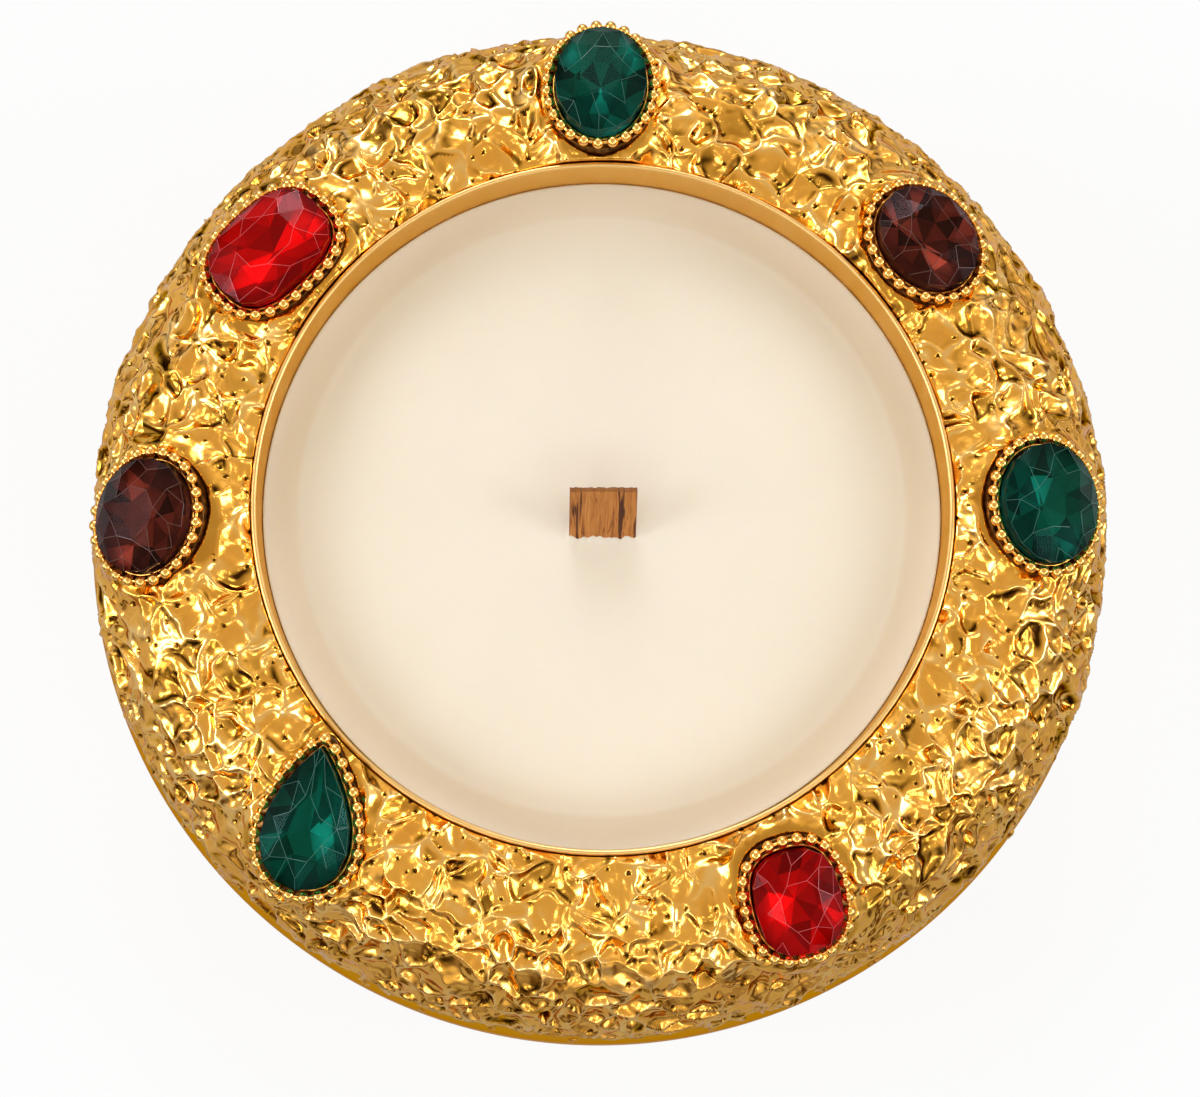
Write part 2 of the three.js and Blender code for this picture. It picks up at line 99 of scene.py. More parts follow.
def rangeOf(tree, value, low, high, fromLow=0.0, fromHigh=1.0, kind="LINEAR"):
    inputs = {"Value": value, "From Min": fromLow, "From Max": fromHigh, "To Min": low, "To Max": high}
    return addNode(tree, "ShaderNodeMapRange", inputs, interpolation_type=kind).outputs["Result"]


def mixColours(tree, first, second, share, blend="MIX"):
    inputs = {"A": first, "B": second, "Factor": share}
    return addNode(tree, "ShaderNodeMix", inputs, data_type="RGBA", blend_type=blend).outputs["Result"]


def mixShaders(tree, first, second, share):
    return addNode(tree, "ShaderNodeMixShader", {1: first, 2: second, 0: share}).outputs["Shader"]


def unevenSheen(tree, shader, field, sheen):
    setInputs(shader, {"Roughness": rangeOf(tree, field, *sheen, *noiseSpan)})


def bumpOf(tree, shader, value, distance, strength):
    bump = addNode(tree, "ShaderNodeBump", {"Height": value, "Distance": distance, "Strength": strength})
    setInputs(shader, {"Normal": bump.outputs["Normal"]})


def toMetres(bm):
    bmesh.ops.scale(bm, vec=(mm, mm, mm), verts=bm.verts[:])


def smoothFaces(bm):
    for face in bm.faces:
        face.smooth = True


def newObject(name, bm, materials):
    mesh = bpy.data.meshes.new(name)
    bm.to_mesh(mesh)
    bm.free()
    for material in materials:
        mesh.materials.append(material)
    thing = bpy.data.objects.new(name, mesh)
    scene.collection.objects.link(thing)
    return thing


def makePiece(name, bm, materials, nodes):
    piece = newObject(name, bm, materials)
    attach(piece, "root")
    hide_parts(*nodes)
    return piece


def spunShape(profile, steps):
    bm = bmesh.new()
    points = [bm.verts.new((radius, 0, height)) for radius, height in profile]
    edges = [bm.edges.new(pair) for pair in zip(points, points[1:] + points[:1])]
    if profile[0][0] == 0 and profile[-1][0] == 0:  # closed by the axis
        bm.edges.remove(edges.pop())
    bmesh.ops.spin(bm, geom=points + edges, cent=(0, 0, 0), axis=(0, 0, 1), angle=2 * math.pi,
                   steps=steps, use_merge=True)
    bmesh.ops.remove_doubles(bm, verts=bm.verts[:], dist=1e-6)
    bmesh.ops.recalc_face_normals(bm, faces=bm.faces[:])
    smoothFaces(bm)
    return bm


def smoothStep(low, high, value):
    share = min(max((value - low) / (high - low), 0.0), 1.0)
    return share * share * (3 - 2 * share)


def treeOf(points):
    tree = kdtree.KDTree(len(points))
    for i, point in enumerate(points):
        tree.insert(point, i)
    tree.balance()
    return tree


def roundSpot(radius, angle, height):
    return Vector((radius * math.cos(angle), radius * math.sin(angle), height))


def evenlyAlong(points, count):  # points at even steps along a line, and the line's length
    run = [0.0]
    for before, after in zip(points, points[1:]):
        run.append(run[-1] + math.dist(before, after))
    even, k = [], 0
    for i in range(count + 1):
        goal = run[-1] * i / count
        while run[k + 1] < goal and k < len(run) - 2:
            k += 1
        share = (goal - run[k]) / (run[k + 1] - run[k])
        even.append(tuple(a + (b - a) * share for a, b in zip(points[k], points[k + 1])))
    return even, run[-1]


# The bowl's curve, as in the solids, in millimetres

bowl = {"widest": 100, "height": 95, "rim": 65, "shoulder": 42, "fullness": 2.8,
        "foot": 50, "flankFullness": 2.2, "seam": 22, "sheet": 2.5, "curveSteps": 2000}
waist = bowl["height"] - bowl["shoulder"]
reach = bowl["widest"] - bowl["rim"]


def shoulderAt(turn, lift=0.0):
    power = 2 / bowl["fullness"]
    out = reach * math.cos(math.radians(turn)) ** power
    up = bowl["shoulder"] * math.sin(math.radians(turn)) ** power
    slope = Vector((out ** (bowl["fullness"] - 1) / reach ** bowl["fullness"],
                    up ** (bowl["fullness"] - 1) / bowl["shoulder"] ** bowl["fullness"])).normalized()
    return (bowl["rim"] + out + slope.x * lift, waist + up + slope.y * lift)


def turnAtHeight(height):
    return math.degrees(math.asin((height / bowl["shoulder"]) ** (bowl["fullness"] / 2)))


def turnAcross(across):
    return math.degrees(math.acos(across ** (bowl["fullness"] / 2)))


def flankAt(turn, lift=0.0):
    power = 2 / bowl["flankFullness"]
    side = bowl["widest"] - bowl["foot"]
    out = side * math.cos(math.radians(turn)) ** power
    down = waist * math.sin(math.radians(turn)) ** power
    slope = Vector((out ** (bowl["flankFullness"] - 1) / side ** bowl["flankFullness"],
                    -down ** (bowl["flankFullness"] - 1) / waist ** bowl["flankFullness"])).normalized()
    return (bowl["foot"] + out + slope.x * lift, waist - down + slope.y * lift)


def shoulderShares(point):  # how far out and up a point is, as shares of the shoulder
    radius = math.hypot(point.x, point.y)
    return max(radius - bowl["rim"], 0.0) / reach, max(point.z - waist, 0.0) / bowl["shoulder"]


def shoulderNormal(point):
    out, up = shoulderShares(point)
    slope = Vector((out ** (bowl["fullness"] - 1) / reach,
                    up ** (bowl["fullness"] - 1) / bowl["shoulder"])).normalized()
    radius = math.hypot(point.x, point.y)
    return Vector((point.x / radius * slope.x, point.y / radius * slope.x, slope.y))


def evenCurve(at, start, end, count):
    steps = bowl["curveSteps"]
    return evenlyAlong([at(start + (end - start) * i / steps) for i in range(steps + 1)], count)[0]


# Stones: where each sits and its outline, in millimetres

stones = [
    {"name": "emerald_back", "cut": "oval", "angle": 90.4, "across": 0.447,
     "turn": 87, "size": (23.9, 17.7)},
    {"name": "garnet_right", "cut": "oval", "angle": 39.6, "across": 0.4,
     "turn": -3.5, "size": (21.6, 18.3)},
    {"name": "emerald_right", "cut": "oval", "angle": 0, "across": 0.501,
     "turn": 1.6, "size": (22.8, 19.7)},
    {"name": "ruby_front", "cut": "cushion", "angle": 295.5, "across": 0.472,
     "turn": 80, "size": (19.7, 16.2)},
    {"name": "emerald_pear", "cut": "pear", "angle": 227.7, "across": 0.417,
     "turn": 121, "size": (26.7, 16.6)},
    {"name": "garnet_left", "cut": "oval", "angle": 181.9, "across": 0.564,
     "turn": 161, "size": (21.7, 19.3)},
    {"name": "ruby_back", "cut": "cushion", "angle": 142.6, "across": 0.39,
     "turn": 171, "size": (24.3, 17.8)},
]
outlines = {"cushionFullness": 2.7, "pearFullness": 1.28, "pearTip": 0.006, "pearTaper": 0.45, "step": 1e-3,
            "fineSteps": 720, "edgeSteps": 90}


def stonePlace(stone):
    angle = math.radians(stone["angle"])
    radius, height = shoulderAt(turnAcross(stone["across"]))
    point = roundSpot(radius, angle, height)
    normal = shoulderNormal(point)
    tangent = Vector((-math.sin(angle), math.cos(angle), 0))
    upward = normal.cross(tangent)
    place = Matrix((tangent, upward, normal)).transposed().to_4x4()
    place.translation = point
    return place @ Matrix.Rotation(math.radians(stone["turn"]), 4, "Z")


def outlineAt(stone, t, margin=0.0):  # a point on the outline, and the way it runs
    shrink = min(margin, 0.0)
    halfX = stone["size"][0] / 2 + shrink
    halfY = stone["size"][1] / 2 + shrink

    def at(t):
        c, s = math.cos(t), math.sin(t)
        if stone["cut"] == "cushion":
            power = 2 / outlines["cushionFullness"]
            return Vector((halfX * math.copysign(abs(c) ** power, c),
                           halfY * math.copysign(abs(s) ** power, s)))
        if stone["cut"] == "pear":
            taper = (math.sin(t / 2) ** 2 + outlines["pearTip"]) ** outlines["pearTaper"]
            return Vector((halfX * c, halfY * outlines["pearFullness"] * s * taper))
        return Vector((halfX * c, halfY * s))

    ahead = (at(t + outlines["step"]) - at(t - outlines["step"])).normalized()
    return at(t) + Vector((ahead.y, -ahead.x)) * max(margin, 0.0), ahead


def evenOutline(stone, margin, count):
    steps = outlines["fineSteps"]
    fine = [outlineAt(stone, 2 * math.pi * i / steps, margin)[0] for i in range(steps)]
    points, girth = evenlyAlong(fine + fine[:1], count)
    return [Vector(point) for point in points[:-1]], girth


for stone in stones:
    stone["place"] = stonePlace(stone)
    stone["inverse"] = stone["place"].inverted()
print("curves ready")


# Gold finishes: one grain makes the metal unevenly smooth, another gives it a slight bump

goldEdge = (0.74, 0.46, 0.16, 1)  # the colour at grazing angles
# a grain or bump is a noise's scale, detail, roughness and twist; bumpDepth is metres and strength
goldLooks = {
    "hammered_gold": {"colour": (0.99, 0.52, 0.065), "coat": 0.65, "coatRoughness": 0.08,
                      "stretch": (1, 1, 1), "grain": (500, 3, 0.6), "sheen": (0.09, 0.20),
                      "bump": (900, 3, 0.5, 0.4), "bumpDepth": (0.00008, 0.6)},
    "smooth_gold": {"colour": (0.90, 0.48, 0.10), "coat": 0.0, "coatRoughness": 0.1,
                    "stretch": (1, 1, 1), "grain": (60, 5, 0.6), "sheen": (0.16, 0.30),
                    "bump": (45, 3, 0.5), "bumpDepth": (0.0006, 0.35)},
    "satin_gold": {"colour": (0.92, 0.62, 0.24), "coat": 0.0, "coatRoughness": 0.3,
                   "stretch": (1, 1, 0.25), "grain": (300, 4, 0.6), "sheen": (0.30, 0.46),
                   "bump": (420, 3, 0.5), "bumpDepth": (0.0001, 0.4)},
    "bead_gold": {"colour": (0.95, 0.56, 0.13), "coat": 0.7, "coatRoughness": 0.04,
                  "stretch": (1, 1, 1), "grain": (500, 3, 0.6), "sheen": (0.12, 0.24),
                  "bump": (900, 2, 0.5), "bumpDepth": (0.00008, 0.5)},
}
# the crest colour is a painted highlight; the darkest colour is painted shade, in pits, on crest flanks, in
# deep cells and in gaps
hammeredLook = {"deep": (0.93, 0.44, 0.042), "crest": (0.99, 0.66, 0.22, 1), "paintedShade": (0.05, 0.018, 0.003, 1),
                "stain": (110, 4, 0.6), "stainSpan": (0.32, 0.60), "coatIor": 1.6, "dullFrom": -0.5}
# dark metal for the settings' lower faces: painted shade in the recess round each stone
recessLook = {"colour": (0.10, 0.045, 0.012), "roughness": 0.3, "grain": (700, 3, 0.6),
              "stops": [(0.35, (0.025, 0.011, 0.004)), (0.75, (0.22, 0.10, 0.025))]}


def goldFinish(name):
    look = goldLooks[name]
    gold, tree, shader = newMaterial(name, look["colour"], 1.0, look["sheen"][1])
    setInputs(shader, {"Coat Weight": look["coat"], "Coat Roughness": look["coatRoughness"],
                       "Specular Tint": goldEdge})
    space = objectSpace(tree, look["stretch"])
    unevenSheen(tree, shader, noiseField(tree, space, *look["grain"]), look["sheen"])
    bumpOf(tree, shader, noiseField(tree, space, *look["bump"]), *look["bumpDepth"])
    return gold, tree, shader


smoothGold = goldFinish("smooth_gold")[0]
satinGold = goldFinish("satin_gold")[0]
beadGold = goldFinish("bead_gold")[0]

hammeredGold, tree, shader = goldFinish("hammered_gold")
low, high = hammeredLook["stainSpan"]
stain = noiseField(tree, objectSpace(tree), *hammeredLook["stain"])
colour = rampOf(tree, stain, [(low, hammeredLook["deep"]), (high, goldLooks["hammered_gold"]["colour"])])
paintedLight = attributeOf(tree, "paintedLight")  # painted light: -1 is painted shade, as in a pit, 1 a painted highlight along a crest
colour = mixColours(tree, colour, hammeredLook["crest"], rangeOf(tree, paintedLight, 0, 1))
colour = mixColours(tree, colour, hammeredLook["paintedShade"], rangeOf(tree, paintedLight, 0, 1, 0, -1))
coat = rangeOf(tree, paintedLight, goldLooks["hammered_gold"]["coat"], 0, 0, hammeredLook["dullFrom"])
setInputs(shader, {"Base Color": colour, "Coat Weight": coat, "Coat IOR": hammeredLook["coatIor"]})

# painted shade: dark, mottled metal for the settings' lower faces
darkGold, tree, shader = newMaterial("recess_painted_shade", recessLook["colour"], 1.0, recessLook["roughness"])
shadeMottle = noiseField(tree, objectSpace(tree), *recessLook["grain"])
setInputs(shader, {"Base Color": rampOf(tree, shadeMottle, recessLook["stops"])})
print("gold finishes ready")


# Settings under the stones, listed here because the collar is pressed to them

setting = {"top": 0.8, "skirt": 2.05, "edge": 0.3, "edgeMiddle": (0.1, 0.08), "wallHeight": 0.7,
           "wallOut": 0.35, "wallIn": 0.02, "wallEdge": 0.1, "fillet": 0.15, "points": 80, "sink": 1.4,
           "floor": -2.4, "bright": 0.5, "search": (-12.0, 3.0), "halvings": 30}


# Hammered collar: a fine sheet round the bowl, pressed in with dents, folds and pits

collar = {
    # mesh and lower edge
    "sectors": 6, "steps": 350, "rows": 172, "backRows": 6, "lowest": 4, "run": 62, "rimEdge": 66.3,
    "seed": 11, "edge": 9, "ragged": [(0.12, 2.2), (0.35, 1.4)], "edgeRun": (-0.25, 0.25), "edgeTuck": 2.2,
    "rimGap": 0.35, "rimVary": 0.5, "rimRun": (0.0, 1.4), "rimSink": 0.35,
    # main dents, as in the solid
    "dent": 14, "dentDepth": 1.3, "dentStray": 0.7, "dentMargin": 5, "dentRun": (0.9, 1.3),
    # hammered cells, the crests between them and the creases inside them
    "cell": 6.6, "cellStray": 0.5, "filler": 4.4, "fillerStray": 0.4, "apart": 3.2, "neighbours": 5,
    "cellDepth": (0.5, 1.4), "spread": (0.8, 1.25), "tilt": 0.15, "soft": (0.07, 0.3), "bluntRun": (0.0, 0.4),
    "crest": 0.16, "crestWidth": 0.34, "crestVary": 0.6,
    "other": 5.4, "otherDepth": (0.05, 0.4), "patchRun": (-0.15, 0.2), "lineRun": (0, 0.4),
    "fold": 0.35, "foldSoft": 0.03, "swell": 0.3, "wobble": 0.11, "steep": 0.8,
    "lift": (0.15, 0.9), "liftRun": (0, 12), "lump": 0.8, "lumpRun": (0.5, 2.2),
    # pits
    "pits": 1300, "pitSpacing": 2.4, "pitDepth": (0.25, 0.5), "pitSize": (0.36, 0.6),
    "pitReach": 1.5, "pitLip": 0.04, "lipAt": 1.1, "lipWidth": 0.4,
    # painted light on the sheet: painted highlight along the crests, painted shade on their flanks, in deep
    # cells, between lumps and in pits
    "shine": 0.9, "highlightRun": (-0.35, 0.25), "gloomRun": (-0.25, 0.25), "flank": (0.75, 0.4),
    "flankRun": (-0.2, 0.4), "deepShade": 0.6, "deepRun": (0.7, 1.3), "gapShade": 0.75, "pitShade": 2.5,
    # round the stones
    "stoneReach": 26, "stoneDepth": 9, "besideReach": 8, "underRun": (-1.5, -0.2), "underDrop": 3.5,
    "riseRun": (0.0, 4.0), "riseTop": 0.1, "riseMost": 1.6,
    "trench": 0.55, "trenchOut": 1.1, "trenchVary": 2.2, "trenchSoft": 0.8,
    "trenchCalm": 0.5, "trenchShade": 0.35,
}
drifts = {  # slow changes over the sheet: how fine each is, and where in the noise it starts
    "groups": (0.08, Vector()), "blunt": (0.12, Vector((9, 4, 2))), "crest": (0.2, Vector()),
    "patch": (0.11, Vector((2, 5, 8))), "fold": (0.16, Vector((7, 3, 1))), "swell": (0.3, Vector((3, 9, 5))),
    "wobble": (0.7, Vector()), "gloom": (0.17, Vector((1, 8, 3))), "shine": (0.15, Vector((4, 1, 6))),
    "trench": (0.17, Vector()), "rim": (0.4, Vector()),
}
pushes = {  # slow sideways pushes: fineness, start and size in millimetres
    "warp": (0.14, Vector(), 3.2), "curl": (0.33, Vector(), 0.9), "other": (0.12, Vector((5, 2, 4)), 2.0),
}
scatterMix = (127.1, 311.7, 74.7, 43758.5453)
noise.seed_set(collar["seed"])  # noise_vector takes its offsets from this


def drift(name, point):
    scale, start = drifts[name]
    return noise.noise(point * scale + start)


def push(name, point):
    scale, start, size = pushes[name]
    return noise.noise_vector(point * scale + start) * size


def scatter(i, j, salt):
    value = math.sin(i * scatterMix[0] + j * scatterMix[1] + salt * scatterMix[2]) * scatterMix[3]
    return value - math.floor(value)


seamSpot = Vector(shoulderAt(turnAtHeight(bowl["seam"])))
dentColumns = round(math.pi * (bowl["rim"] + bowl["widest"]) / collar["dent"])


def mainDent(point):  # the solid's own dents
    radius = math.hypot(point.x, point.y)
    along = (Vector((radius, point.z)) - seamSpot).length
    x = math.atan2(point.y, point.x) / (2 * math.pi) * dentColumns
    y = math.copysign(along, point.z - seamSpot.y) / collar["dent"]
    stray = collar["dentStray"]
    nearest = 4.0  # past any neighbour, in columns squared
    for j in range(math.floor(y) - 1, math.floor(y) + 2):
        for i in range(math.floor(x) - 1, math.floor(x) + 2):
            dx = i + (1 - stray) / 2 + stray * scatter(i % dentColumns, j, 1) - x
            dy = j + (1 - stray) / 2 + stray * scatter(i % dentColumns, j, 2) - y
            nearest = min(nearest, dx * dx + dy * dy)
    return collar["dentDepth"] * max(0, 1 - nearest)


def surfaceSpots(spacing, stray, dice):
    spots = []
    rows = evenCurve(shoulderAt, turnAtHeight(collar["lowest"]), 90, round(collar["run"] / spacing))
    for k, (radius, _) in enumerate(rows):
        count = round(2 * math.pi * radius / spacing)
        offset = dice.random()
        for i in range(count):
            angle = 2 * math.pi * (i + offset + dice.uniform(-stray, stray)) / count
            row = min(max(k + dice.uniform(-stray, stray), 0), len(rows) - 1.001)  # short of the last row
            low = int(row)
            r, z = Vector(rows[low]).lerp(Vector(rows[low + 1]), row - low)
            spots.append(roundSpot(r, angle, z))
    return spots


dice = random.Random(collar["seed"])
cells = surfaceSpots(collar["cell"], collar["cellStray"], dice)
cellTree = treeOf(cells)
for spot in surfaceSpots(collar["filler"], collar["fillerStray"], dice):  # smaller cells, in groups between
    if cellTree.find(spot)[2] > collar["apart"] and drift("groups", spot) > 0:
        cells.append(spot)
cellTree = treeOf(cells)
cellDepth = [dice.uniform(*collar["cellDepth"]) for _ in cells]
cellSpread = [dice.uniform(*collar["spread"]) for _ in cells]
cellTilt = [Vector([dice.uniform(-1, 1) for _ in "xyz"]) * collar["tilt"] for _ in cells]
others = surfaceSpots(collar["other"], collar["cellStray"], dice)
otherTree = treeOf(others)
otherDepth = [dice.uniform(*collar["otherDepth"]) for _ in others]
pits = dice.sample(surfaceSpots(collar["pitSpacing"], collar["cellStray"], dice), collar["pits"])
pitTree = treeOf(pits)
pitDepth = [dice.uniform(*collar["pitDepth"]) for _ in pits]
pitSize = [dice.uniform(*collar["pitSize"]) for _ in pits]


def soften(value, soft):
    return math.sqrt(value * value + soft * soft) - soft


def bell(value):
    return math.exp(-value ** 2)


def hammering(point, lumps):  # how far the sheet stands out, and its painted light: painted highlight along crests, painted shade in hollows and pits
    warped = point + push("warp", point) + push("curl", point)
    found = cellTree.find_n(warped, collar["neighbours"])
    (first, i), (second, j) = sorted((distance * cellSpread[i], i) for _, i, distance in found)[:2]
    sharp, blunt = collar["soft"]
    soft = sharp + (blunt - sharp) * smoothStep(*collar["bluntRun"], drift("blunt", point))
    share = soften((second - first) / (second + first), soft)
    share = share * (2 - share)  # 0 on the crest between two cells, nearly 1 at a cell's middle
    away = (second - first) / 2  # millimetres from the crest
    crest = bell(away / (collar["crestWidth"] * (1 + collar["crestVary"] * drift("crest", point))))
    relief = collar["crest"] * crest - (cellDepth[i] + cellTilt[i].dot(point - cells[i])) * share

    (_, k, first), (_, _, second) = otherTree.find_n(warped + push("other", point), 2)
    other = soften((second - first) / (second + first), sharp)
    patch = smoothStep(*collar["patchRun"], drift("patch", point))  # creases that start and end inside a cell
    line = bell((second - first) / 2 / collar["crestWidth"]) * patch * smoothStep(*collar["lineRun"], share)
    relief += collar["crest"] * line - otherDepth[k] * other * (2 - other) * patch * share
    lump = collar["lump"] * (share - 1)  # the lowest cells swell instead
    relief = relief * (1 - lumps) + lump * lumps
    relief -= collar["fold"] * soften(drift("fold", warped), collar["foldSoft"])
    relief += collar["swell"] * drift("swell", warped) + collar["wobble"] * drift("wobble", point)

    crest = max(crest, line)
    start, run = collar["flank"]
    flank = bell((away - start) / run) * smoothStep(*collar["flankRun"], cellDepth[i] - cellDepth[j])
    deep = collar["deepShade"] * share * smoothStep(*collar["deepRun"], cellDepth[i])
    # painted highlight along the crests
    paintedLight = collar["shine"] * crest * smoothStep(*collar["highlightRun"], drift("shine", point))
    paintedLight -= smoothStep(*collar["gloomRun"], drift("gloom", point)) * (flank + deep)  # painted shade beside the crests and in deep cells
    paintedLight -= (paintedLight + collar["gapShade"] * crest) * lumps  # painted shade in the gaps between the lumps
    _, k, distance = pitTree.find(point)
    share = distance / pitSize[k]
    if share < collar["pitReach"]:
        deep = max(1 - share * share, 0)
        lip = collar["pitLip"] * max(1 - abs(share - collar["lipAt"]) / collar["lipWidth"], 0)
        relief += lip - pitDepth[k] * deep
        # painted shade in the pit
        paintedLight -= min(collar["pitShade"] * deep, 1 + paintedLight)
    return relief, paintedLight


for stone in stones:
    steps = outlines["edgeSteps"]
    ring = [outlineAt(stone, 2 * math.pi * i / steps, setting["skirt"]) for i in range(steps)]
    stone["edgeTree"] = treeOf([spot.to_3d() for spot, _ in ring])
    stone["edgeOut"] = [Vector((ahead.y, -ahead.x, 0)) for _, ahead in ring]


def nearStone(point):  # shares under a setting, raised to it, of the dents left, and of the trench round it
    for stone in stones:
        local = stone["inverse"] @ point
        if local.length > collar["stoneReach"] or abs(local.z) > collar["stoneDepth"]:
            continue
        spot, k, _ = stone["edgeTree"].find((local.x, local.y, 0))
        away = (local - spot).dot(stone["edgeOut"][k])  # millimetres outside the setting
        if away < collar["besideReach"]:
            under = 1 - smoothStep(*collar["underRun"], away)
            short = min(max(collar["riseTop"] - local.z, 0), collar["riseMost"])
            rise = (1 - smoothStep(*collar["riseRun"], away)) * short
            across = math.hypot(local.x / (stone["size"][0] / 2 + collar["dentMargin"]),
                                local.y / (stone["size"][1] / 2 + collar["dentMargin"]))
            outer = collar["trenchOut"] + collar["trenchVary"] * drift("trench", point)
            trench = 1 - smoothStep(outer - collar["trenchSoft"], outer + collar["trenchSoft"], away)
            return under, rise, smoothStep(*collar["dentRun"], across), trench
    return 0.0, 0.0, 1.0, 0.0


seamTurn = turnAtHeight(collar["lowest"])
rimTurn = turnAcross((collar["rimEdge"] - bowl["rim"]) / reach)
outside = evenCurve(shoulderAt, seamTurn, rimTurn, collar["rows"])
inside = evenCurve(lambda turn: shoulderAt(turn, -bowl["sheet"]), rimTurn, seamTurn, collar["backRows"] - 2)
inside[0] = (collar["rimEdge"], inside[0][1])
sheetProfile = outside + inside + outside[:1]


def hammeredPoint(angle, row):
    radius, height = sheetProfile[row]
    point = roundSpot(radius, angle, height)
    if collar["rows"] < row < len(sheetProfile) - 1:  # the plain back of the sheet
        return point, 0.0
    around = roundSpot(bowl["widest"], angle, 0)
    ragged = sum(noise.noise(around * scale) * size for scale, size in collar["ragged"])
    above = point.z - (waist + collar["edge"]) - ragged  # height over the ragged lower edge
    edgeShare = smoothStep(*collar["edgeRun"], above)
    fromRim = radius - collar["rimEdge"] - collar["rimGap"] + drift("rim", point) * collar["rimVary"]
    under, rise, dentsLeft, trench = nearStone(point)
    normal = shoulderNormal(point)
    lumps = 1 - smoothStep(*collar["lumpRun"], above)
    low, high = collar["lift"]
    lift = low + (high - low) * smoothStep(*collar["liftRun"], above)
    lift -= mainDent(point) * dentsLeft * (1 - lumps)
    beaten, paintedLight = hammering(point, lumps)
    beaten *= (1 + collar["steep"] * (1 - normal.z)) * (1 - collar["trenchCalm"] * trench)
    relief = (lift + beaten) * edgeShare - collar["trench"] * trench + rise
    relief -= collar["edgeTuck"] * (1 - edgeShare)
    relief -= collar["rimSink"] * (1 - smoothStep(*collar["rimRun"], fromRim))
    # painted shade in the trench round each setting
    paintedLight -= (paintedLight + collar["trenchShade"]) * trench
    return point + normal * (relief * (1 - under) - collar["underDrop"] * under), paintedLight


for sector in range(collar["sectors"]):
    bm = bmesh.new()
    seam = bm.verts.layers.float_vector.new("seam")
    # painted highlight and painted shade, read by the hammered gold's colour
    paintedLight = bm.verts.layers.float.new("paintedLight")
    columns = collar["steps"] + 2  # one spare column past each end gives the end columns their true normals
    bmesh.ops.create_grid(bm, x_segments=columns, y_segments=len(sheetProfile) - 1, size=0.5)
    ends, spare = [], []
    for vert in bm.verts:
        column = round((vert.co.x + 0.5) * columns)
        angle = 2 * math.pi * (sector + (column - 1) / collar["steps"]) / collar["sectors"]
        vert.co, vert[paintedLight] = hammeredPoint(angle, round((vert.co.y + 0.5) * (len(sheetProfile) - 1)))
        if column in (1, columns - 1):
            ends.append(vert)
        if column in (0, columns):
            spare.append(vert)
    bmesh.ops.recalc_face_normals(bm, faces=bm.faces[:])
    bm.normal_update()
    for vert in ends:
        vert[seam] = vert.normal
    bmesh.ops.delete(bm, geom=spare, context="VERTS")
    bmesh.ops.remove_doubles(bm, verts=bm.verts[:], dist=1e-3)
    bmesh.ops.holes_fill(bm, edges=[edge for edge in bm.edges if edge.is_boundary], sides=0)
    bmesh.ops.recalc_face_normals(bm, faces=bm.faces[:])
    for face in bm.faces:
        face.smooth = len(face.verts) == 4  # the two end walls stay flat
    toMetres(bm)
    piece = makePiece(f"collar_{sector + 1}", bm, [hammeredGold], ["hammered_collar"])
    normals = [item.vector[:] for item in piece.data.attributes["seam"].data]
    piece.data.normals_split_custom_set_from_vertices(normals)  # zero keeps a vertex's own normal
    piece.data.attributes.remove(piece.data.attributes["seam"])
print("collar hammered")


# Lower bowl: smooth, reaching up under the collar's ragged edge

lowerBowl = {"steps": 256, "top": 24, "tuck": (7, 15, 1.4), "wall": 1.4, "footBevel": 1.5, "footTurn": 87,
             "flankRows": 40, "tongueRows": 24, "tongueBackRows": 12, "flankBackRows": 24}


def tongueAt(turn, lift=0.0):
    start, end, depth = lowerBowl["tuck"]
    return shoulderAt(turn, lift - depth * smoothStep(start, end, shoulderAt(turn)[1] - waist))


upTurn = turnAtHeight(lowerBowl["top"])
profile = [(0, 0), (bowl["foot"] - lowerBowl["footBevel"], 0)]
profile += evenCurve(flankAt, lowerBowl["footTurn"], 0, lowerBowl["flankRows"])
profile += evenCurve(tongueAt, 0, upTurn, lowerBowl["tongueRows"])[1:]
profile += evenCurve(lambda turn: tongueAt(turn, -lowerBowl["wall"]), upTurn, 0, lowerBowl["tongueBackRows"])
profile += evenCurve(lambda turn: flankAt(turn, -bowl["sheet"]), 0, 90, lowerBowl["flankBackRows"])
profile += [(0, bowl["sheet"])]
bm = spunShape(profile, lowerBowl["steps"])
toMetres(bm)
makePiece("bowl_body", bm, [smoothGold], ["lower_bowl"])
print("lower bowl turned")


# Inner cup: satin wall with a rounded lip

cup = {"steps": 256, "wall": 1.0, "floor": 36, "floorRadius": 63, "corner": 3, "flange": 71,
       "flangeTop": 91.2, "flangeThick": 1.0, "lipStep": 20, "wallRows": 9, "rowStep": 6.0}


def cupRadius(height):
    share = (height - cup["floor"] - cup["wall"]) / (bowl["height"] - cup["floor"] - cup["wall"])
    return cup["floorRadius"] + (bowl["rim"] - cup["floorRadius"]) * share


lipTurns = [math.radians(turn) for turn in range(0, 181, cup["lipStep"])]
lip = [(bowl["rim"] + cup["wall"] / 2 * (1 + math.cos(turn)),
        bowl["height"] - cup["wall"] / 2 * (1 - math.sin(turn))) for turn in lipTurns]
wallFoot = cup["floor"] + cup["wall"] + cup["corner"]
wallRows = [wallFoot + i * cup["rowStep"] for i in range(cup["wallRows"])]
flangeFoot = cup["flangeTop"] - cup["flangeThick"]
profile = [(0, cup["floor"]), (cup["floorRadius"] - cup["corner"], cup["floor"])]
profile += [(cup["floorRadius"] + cup["wall"], wallFoot), (cupRadius(flangeFoot) + cup["wall"], flangeFoot)]
profile += [(cup["flange"], flangeFoot), (cup["flange"], cup["flangeTop"])]
profile += [(cupRadius(cup["flangeTop"]) + cup["wall"], cup["flangeTop"])]
profile += lip
profile += [(cupRadius(height), height) for height in reversed(wallRows)]
